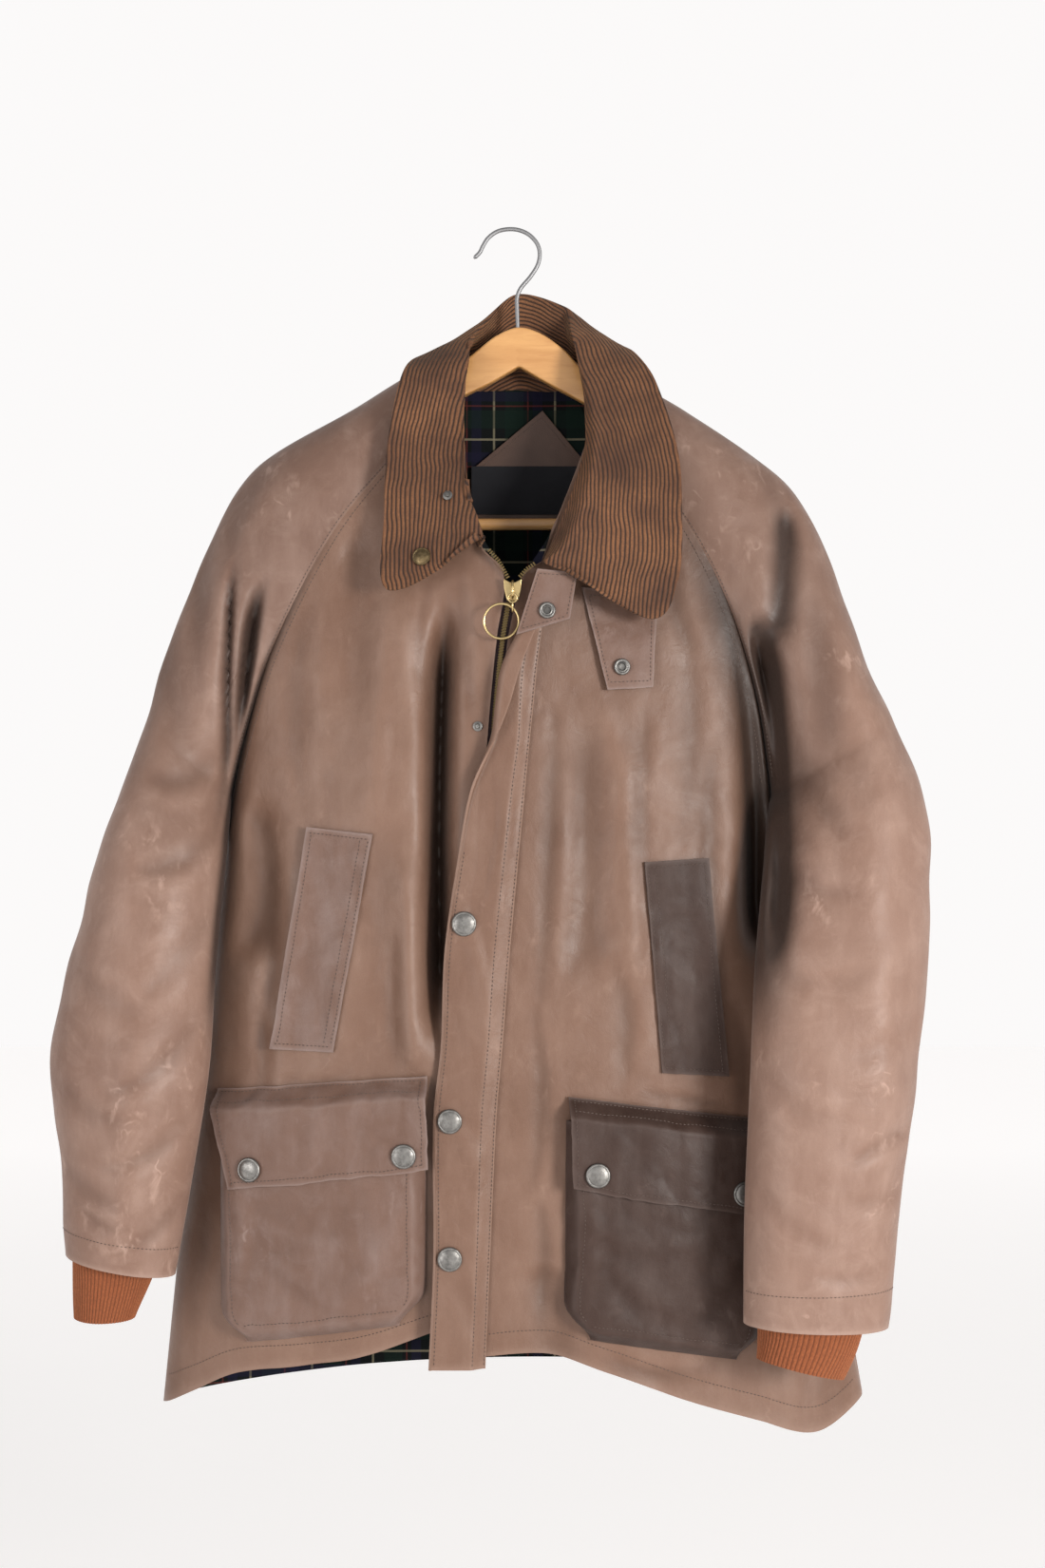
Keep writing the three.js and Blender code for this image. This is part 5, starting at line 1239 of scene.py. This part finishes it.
for name, panel in (("zip_tape_left", LEFT), ("zip_tape_right", RIGHT)):
    u, v = grid(8, 160)
    z = mix(SLIDER_BOTTOM + 12, CHAIN_BOTTOM, v)
    x = zip_x(z) + panel["side"] * mix(0.4, TAPE_WIDTH, u)
    points = xyz(x, panel_at(panel, x, z) + CLOTH + 3 * LAY, z)
    place(shell(name + "_strip", points, TAPE_THICKNESS, TAPE.material, way=FORWARD), "zip_tape", [name])

TOOTH = np.array([(-2.2, -1.1, -0.55), (0.9, -1.1, -0.62), (1.3, -0.5, -0.4), (1.3, 0.5, -0.4),
                  (0.9, 1.1, -0.62),
                  (-2.2, 1.1, -0.55)])


def teeth_row(name, path, side, nodes, pitch=2.2, offset=0.0):
    """Metal teeth along a path, each a small six-sided block reaching to the middle"""
    path = np.asarray(path, float)
    far = np.concatenate([[0], np.cumsum(np.linalg.norm(np.diff(path, axis=0), axis=1))])
    at = np.arange(pitch / 2 + offset, far[-1], pitch)
    centre = np.stack([np.interp(at, far, path[:, k]) for k in range(3)], -1)
    ahead = np.stack([np.interp(at + 1, far, path[:, k]) for k in range(3)], -1)
    behind = np.stack([np.interp(at - 1, far, path[:, k]) for k in range(3)], -1)
    along = unit(ahead - behind)
    across = unit(np.cross(along, [0.0, -1, 0])) * side
    out = unit(np.cross(along, across))
    points, faces = [], []
    for c, l, a, o in zip(centre, along, across, out):
        first = len(points)
        for turn in (1, -1):
            points += [c + a * p[0] + o * p[1] + l * p[2] * turn for p in TOOTH]
        faces += [[first + i for i in range(6)], [first + 11 - i for i in range(6)]]
        faces += [[first + i, first + (i + 1) % 6, first + 6 + (i + 1) % 6, first + 6 + i][::-1]
                  for i in range(6)]
    return place(mesh_object(name, points, faces, BRASS, 30), "brass", nodes)


z = np.linspace(SLIDER_BOTTOM - 0.5, CHAIN_BOTTOM, 200)
chain_path = xyz(zip_x(z), -77.6 + 0 * z, z)
teeth_row("chain_teeth_left", chain_path + [-1, 0, 0], 1, ["zip_chain"])
teeth_row("chain_teeth_right", chain_path + [1, 0, 0], -1, [], offset=1.1)
teeth_row("open_teeth_left", [(-19, -80.6, -276), (-11, -80.4, -285), (-3.4, -79.2, -298.5)], -1,
          ["zip_teeth_left"])
teeth_row("open_teeth_right", [(18, -81, -287), (11, -80.8, -292), (5, -79.8, -298.5)], 1,
          ["zip_teeth_right"])

# Slider with its bridge and eye
SLIDER = [(-7.5, -300), (-7, -308), (-4.5, -318), (4.5, -318), (7, -308), (7.5, -300), (2, -303), (-2, -303)]


def rounded_plate(name, outline, y_front, y_back, edge, material):
    """A flat plate with rounded rims, from an outline of x, z"""
    outline = np.asarray(outline, float)
    way = unit(np.roll(outline, -1, 0) - np.roll(outline, 1, 0))
    normal = np.stack([way[:, 1], -way[:, 0]], -1)
    area = (outline[:, 0] * np.roll(outline[:, 1], -1) - np.roll(outline[:, 0], -1) * outline[:, 1]).sum()
    normal = normal if area > 0 else -normal
    rings = []
    for share in np.linspace(0, 1, 5):
        a = share * math.pi / 2
        rings.append((edge * (1 - math.sin(a)), y_front + edge * (1 - math.cos(a))))
    rings += [(inset, y_back - (y - y_front)) for inset, y in rings[::-1]]
    points = []
    for inset, y in rings:
        rim = outline - normal * inset
        points.append(xyz(rim[:, 0], y + 0 * rim[:, 0], rim[:, 1]))
    n = len(outline)
    faces = []
    for j in range(len(rings) - 1):
        for i in range(n):
            nxt = (i + 1) % n
            faces.append([j * n + i, j * n + nxt, (j + 1) * n + nxt, (j + 1) * n + i])
    faces += [list(range(n))[::-1], [(len(rings) - 1) * n + i for i in range(n)]]
    return mesh_object(name, np.concatenate(points), faces, material, 40)


def dense(outline, step):
    """Points every step along a closed outline, corners kept"""
    outline = np.asarray(outline, float)
    found = []
    for a, b in zip(outline, np.roll(outline, -1, 0)):
        count = max(1, int(np.linalg.norm(b - a) / step))
        found += [mix(a, b, t) for t in np.linspace(0, 1, count, endpoint=False)]
    return np.array(found)


place(rounded_plate("slider_plate", dense(SLIDER, 1.2), -82.5, -78.9, 0.7, BRASS), "brass", ["zip_slider"])
bridge = [(0, -82.4, -302.5), (0, -84.6, -304), (0, -86, -307), (0, -86.4, -310.5), (0, -85.4, -313.8),
          (0, -82.4, -315)]
way = np.linspace(0, 1, 30)
bridge = np.stack([np.interp(way, np.linspace(0, 1, len(bridge)), part) for part in zip(*bridge)], -1)
place(swept("slider_bridge", bridge, 1.2, BRASS, 16), "brass")


def circle(centre, radius, count, plane="xz", stretch=1.0):
    a = np.linspace(0, 2 * math.pi, count, endpoint=False)
    flat = 0 * a
    shape = xyz(radius * np.cos(a), flat, radius * stretch * np.sin(a))
    if plane == "yz":
        shape = xyz(flat, radius * np.cos(a), radius * stretch * np.sin(a))
    return np.asarray(centre) + shape


place(swept("slider_eye", circle((0, -87, -316), 3.6, 48), 0.7, BRASS, 14, closed=True), "brass")
link = swept("pull_link", circle((0, -87, -322.3), 3.3, 56, "yz", 1.5), 0.66, BRASS, 14, closed=True)
place(link, "brass", ["zip_link"], "zip_link")
ring = swept("pull_ring", circle((-9, -87, -334.7), 14, 120), 1.0, BRASS, 18, closed=True)
place(ring, "brass", ["zip_ring"], "zip_ring")

# Inside: back lining, neck facing and bare label
LINING_EDGE = 0.14
LINING_DEPTH = 8
LINING_RISE = 11
u, v = grid(60, 90, half_cosine)
lining_depth = mix(CLOTH + LAY, LINING_DEPTH, smooth(0, 0.12, v))
points = back_point(mix(LINING_EDGE, 1 - LINING_EDGE, u), mix(0.3, 17.6, v), False)
points[..., 1] -= lining_depth + 0.3 * ripple(points[..., 0], points[..., 2], 40, 121)
points[..., 2] += LINING_RISE * (1 - v) ** 6
place(shell("back_lining_cloth", points, -LINING_CLOTH, LINING.material), "lining", ["back_lining"])
NECK_FACING = [(25, -148), (-36, -199), (-36, -243), (63, -243), (63, -194)]
FACING_DEPTH = 19.7
facing_outline = dense(NECK_FACING, 2.5)
facing = rounded_plate("neck_facing_cloth", facing_outline, FACING_DEPTH - 0.9, FACING_DEPTH, 0.35,
                       FACING.material)
place(facing, "facing", ["neck_facing"])
corners = np.array(NECK_FACING)[[2, 1, 0, 4, 3]]
inward = (np.mean(NECK_FACING, axis=0) - corners) * 0.1
seam_path = [(x, FACING_DEPTH - 0.95, z) for x, z in corners + inward]
stitch_line(seam_path, (0.0, -1.0, 0.0), 3, 2)
LABEL_BOX = [(-35.5, -236.5), (62.5, -236.5), (62.5, -195.5), (-35.5, -195.5)]
label = rounded_plate("neck_label_plain", dense(LABEL_BOX, 3), 17.85, 18.45, 0.2, LABEL.material)
place(label, "label", ["neck_label"])

# Hanger
WOOD_THICKNESS = 13
WOOD_TOP = [
    (-220, -232), (-216, -212), (-196, -195), (-170, -178), (-134, -158), (-93, -140), (-57, -122),
    (-36, -106), (-14, -89),
    (4, -82), (21, -86), (42, -100), (62, -120), (97, -140), (144, -162), (172, -178), (198, -196),
    (216, -212), (220, -232),
]
WOOD_UNDER = [
    (218, -252), (208, -258), (197, -251), (190, -228), (150, -199), (64, -148), (30, -129.5), (10, -118),
    (5, -115.5), (0, -118), (-20, -129.5),
    (-38, -138), (-150, -200), (-190, -228), (-197, -251), (-208, -258), (-218, -252),
]


def curve_through(points, count, closed=False):
    """Points of a soft curve through a list of points"""
    points = np.asarray(points, float)
    if closed:
        points = np.concatenate([points[-3:], points, points[:3]])
    u = np.linspace(0, 1, count)
    found = through([np.broadcast_to(p, (count, len(p))) for p in points], u)
    return found


wood_line = curve_through([(x, 0, z) for x, z in WOOD_TOP + WOOD_UNDER + WOOD_TOP[:1]], 420)[:-1]
wood = rounded_plate("hanger_shoulders", wood_line[:, [0, 2]], -WOOD_THICKNESS / 2, WOOD_THICKNESS / 2, 2.2,
                     WOOD.material)
place(wood, "wood", ["hanger_wood"])
bar = swept("trouser_bar", [(x, 0, -247) for x in np.linspace(-194, 194, 60)], 5, WOOD.material, 40)
place(bar, "wood", ["hanger_bar"])
HOOK_PATH = [
    (4, -81.6), (3.5, -66), (3.5, -56), (6, -49), (15, -38), (21, -28), (22.5, -19), (20.5, -11), (14, -3.5),
    (6, 0.5),
    (-3, 1.6), (-13, -0.3), (-21, -6), (-25.5, -13), (-28, -18), (-33, -23),
]
hook_line = curve_through([(x, 0, z) for x, z in HOOK_PATH], 180)
hook_radius = 1.75 * np.sqrt(np.clip(np.linspace(1, 0, 180) * 60, 0.15, 1))
place(swept("hook_wire", hook_line, hook_radius, STEEL.material, 18), "steel_wire", ["hanger_hook"])

# Sewing on the body: raglan topstitching, hems, sleeve ends
for panel, sleeve in ((LEFT, LEFT_SLEEVE), (RIGHT, RIGHT_SLEEVE)):
    k = np.linspace(0.2, 7.8, 160)
    surface_stitches(lambda a, b, p=panel: front_point(p, a, b * PANEL_HEM), 0.03 + 0 * k, k / PANEL_HEM)
    surface_stitches(lambda a, b, s=sleeve: sleeve_point(s, a, b * SLEEVE_HEM), 0.045 + 0 * k, k / SLEEVE_HEM)
    across = np.linspace(0.02, 0.98, 200)
    surface_stitches(lambda a, b, p=panel: front_point(p, a, b * PANEL_HEM), across, 0 * across + 0.978)
    around = np.linspace(0.03, 0.47, 120)
    surface_stitches(lambda a, b, s=sleeve: sleeve_point(s, a, b * SLEEVE_HEM), around, 0 * around + 0.955)
stitches = mesh_object("stitches", np.concatenate(STITCHES["points"]), STITCHES["faces"], THREAD.material, 60)
place(stitches, "waxed_cotton_dark")

# Floor, light and camera
FLOOR = Look("floor", Roughness=0.9)
FLOOR.set("Base Color", FLOOR.colours(FLOOR.noise(3, 4), (0.96, 0.95, 0.945), (0.98, 0.97, 0.965)))
# Painted light: the floor glows, faintly near and more toward its far end, to fade into the pale world at the
# horizon
FLOOR.set("Emission Color", (1.0, 0.985, 0.98, 1))
FLOOR.set("Emission Strength", FLOOR.ramp(FLOOR.axis("Y"), -0.5, 4.5, 0.05, 0.33))
floor = mesh_object("floor", [(-7000, -4000, -1500), (7000, -4000, -1500), (7000, 7000, -1500),
                              (-7000, 7000, -1500)],
                    [[0, 1, 2, 3]], FLOOR.material)


def area_light(name, location, target, size, power, colour):
    data = bpy.data.lights.new(name, "AREA")
    data.shape = "DISK"
    data.size, data.energy, data.color = size, power, colour
    lamp = bpy.data.objects.new(name, data)
    bpy.context.collection.objects.link(lamp)
    lamp.location = location
    away = np.asarray(location) - np.asarray(target)
    lamp.rotation_euler = (math.acos(away[2] / np.linalg.norm(away)), 0, math.atan2(away[1], away[0])
                           + math.pi / 2)


area_light("key", (1.9, -2.3, -0.35), (0, 0, -0.6), 0.8, 88, (1.0, 0.975, 0.945))
area_light("fill", (-1.9, -2.2, -0.6), (0, 0, -0.6), 1.4, 26, (1.0, 0.98, 0.97))
world = bpy.data.worlds.new("pale")
bpy.context.scene.world = world
world.use_nodes = True
world.node_tree.nodes["Background"].inputs["Color"].default_value = (0.95, 0.935, 0.93, 1)
sky = world.node_tree.nodes["Background"].inputs["Strength"]
where = world.node_tree.nodes.new("ShaderNodeTexCoord").outputs["Generated"]
rise = world.node_tree.nodes.new("ShaderNodeSeparateXYZ")
world.node_tree.links.new(where, rise.inputs[0])
fade = world.node_tree.nodes.new("ShaderNodeMapRange")
for key, value in (("From Min", 0.35), ("From Max", 0.9), ("To Min", 1.02), ("To Max", 0.42)):
    fade.inputs[key].default_value = value
world.node_tree.links.new(rise.outputs["Z"], fade.inputs["Value"])
world.node_tree.links.new(fade.outputs["Result"], sky)
scene = bpy.context.scene
scene.view_settings.view_transform = "Standard"
camera_data = bpy.data.cameras.new("camera")
camera_data.sensor_width = 36
camera_data.lens = 51.8
camera = bpy.data.objects.new("camera", camera_data)
bpy.context.collection.objects.link(camera)
camera.location = (0.008, -1.9, -0.4656)
camera.rotation_euler = (math.pi / 2, 0, 0)
scene.camera = camera
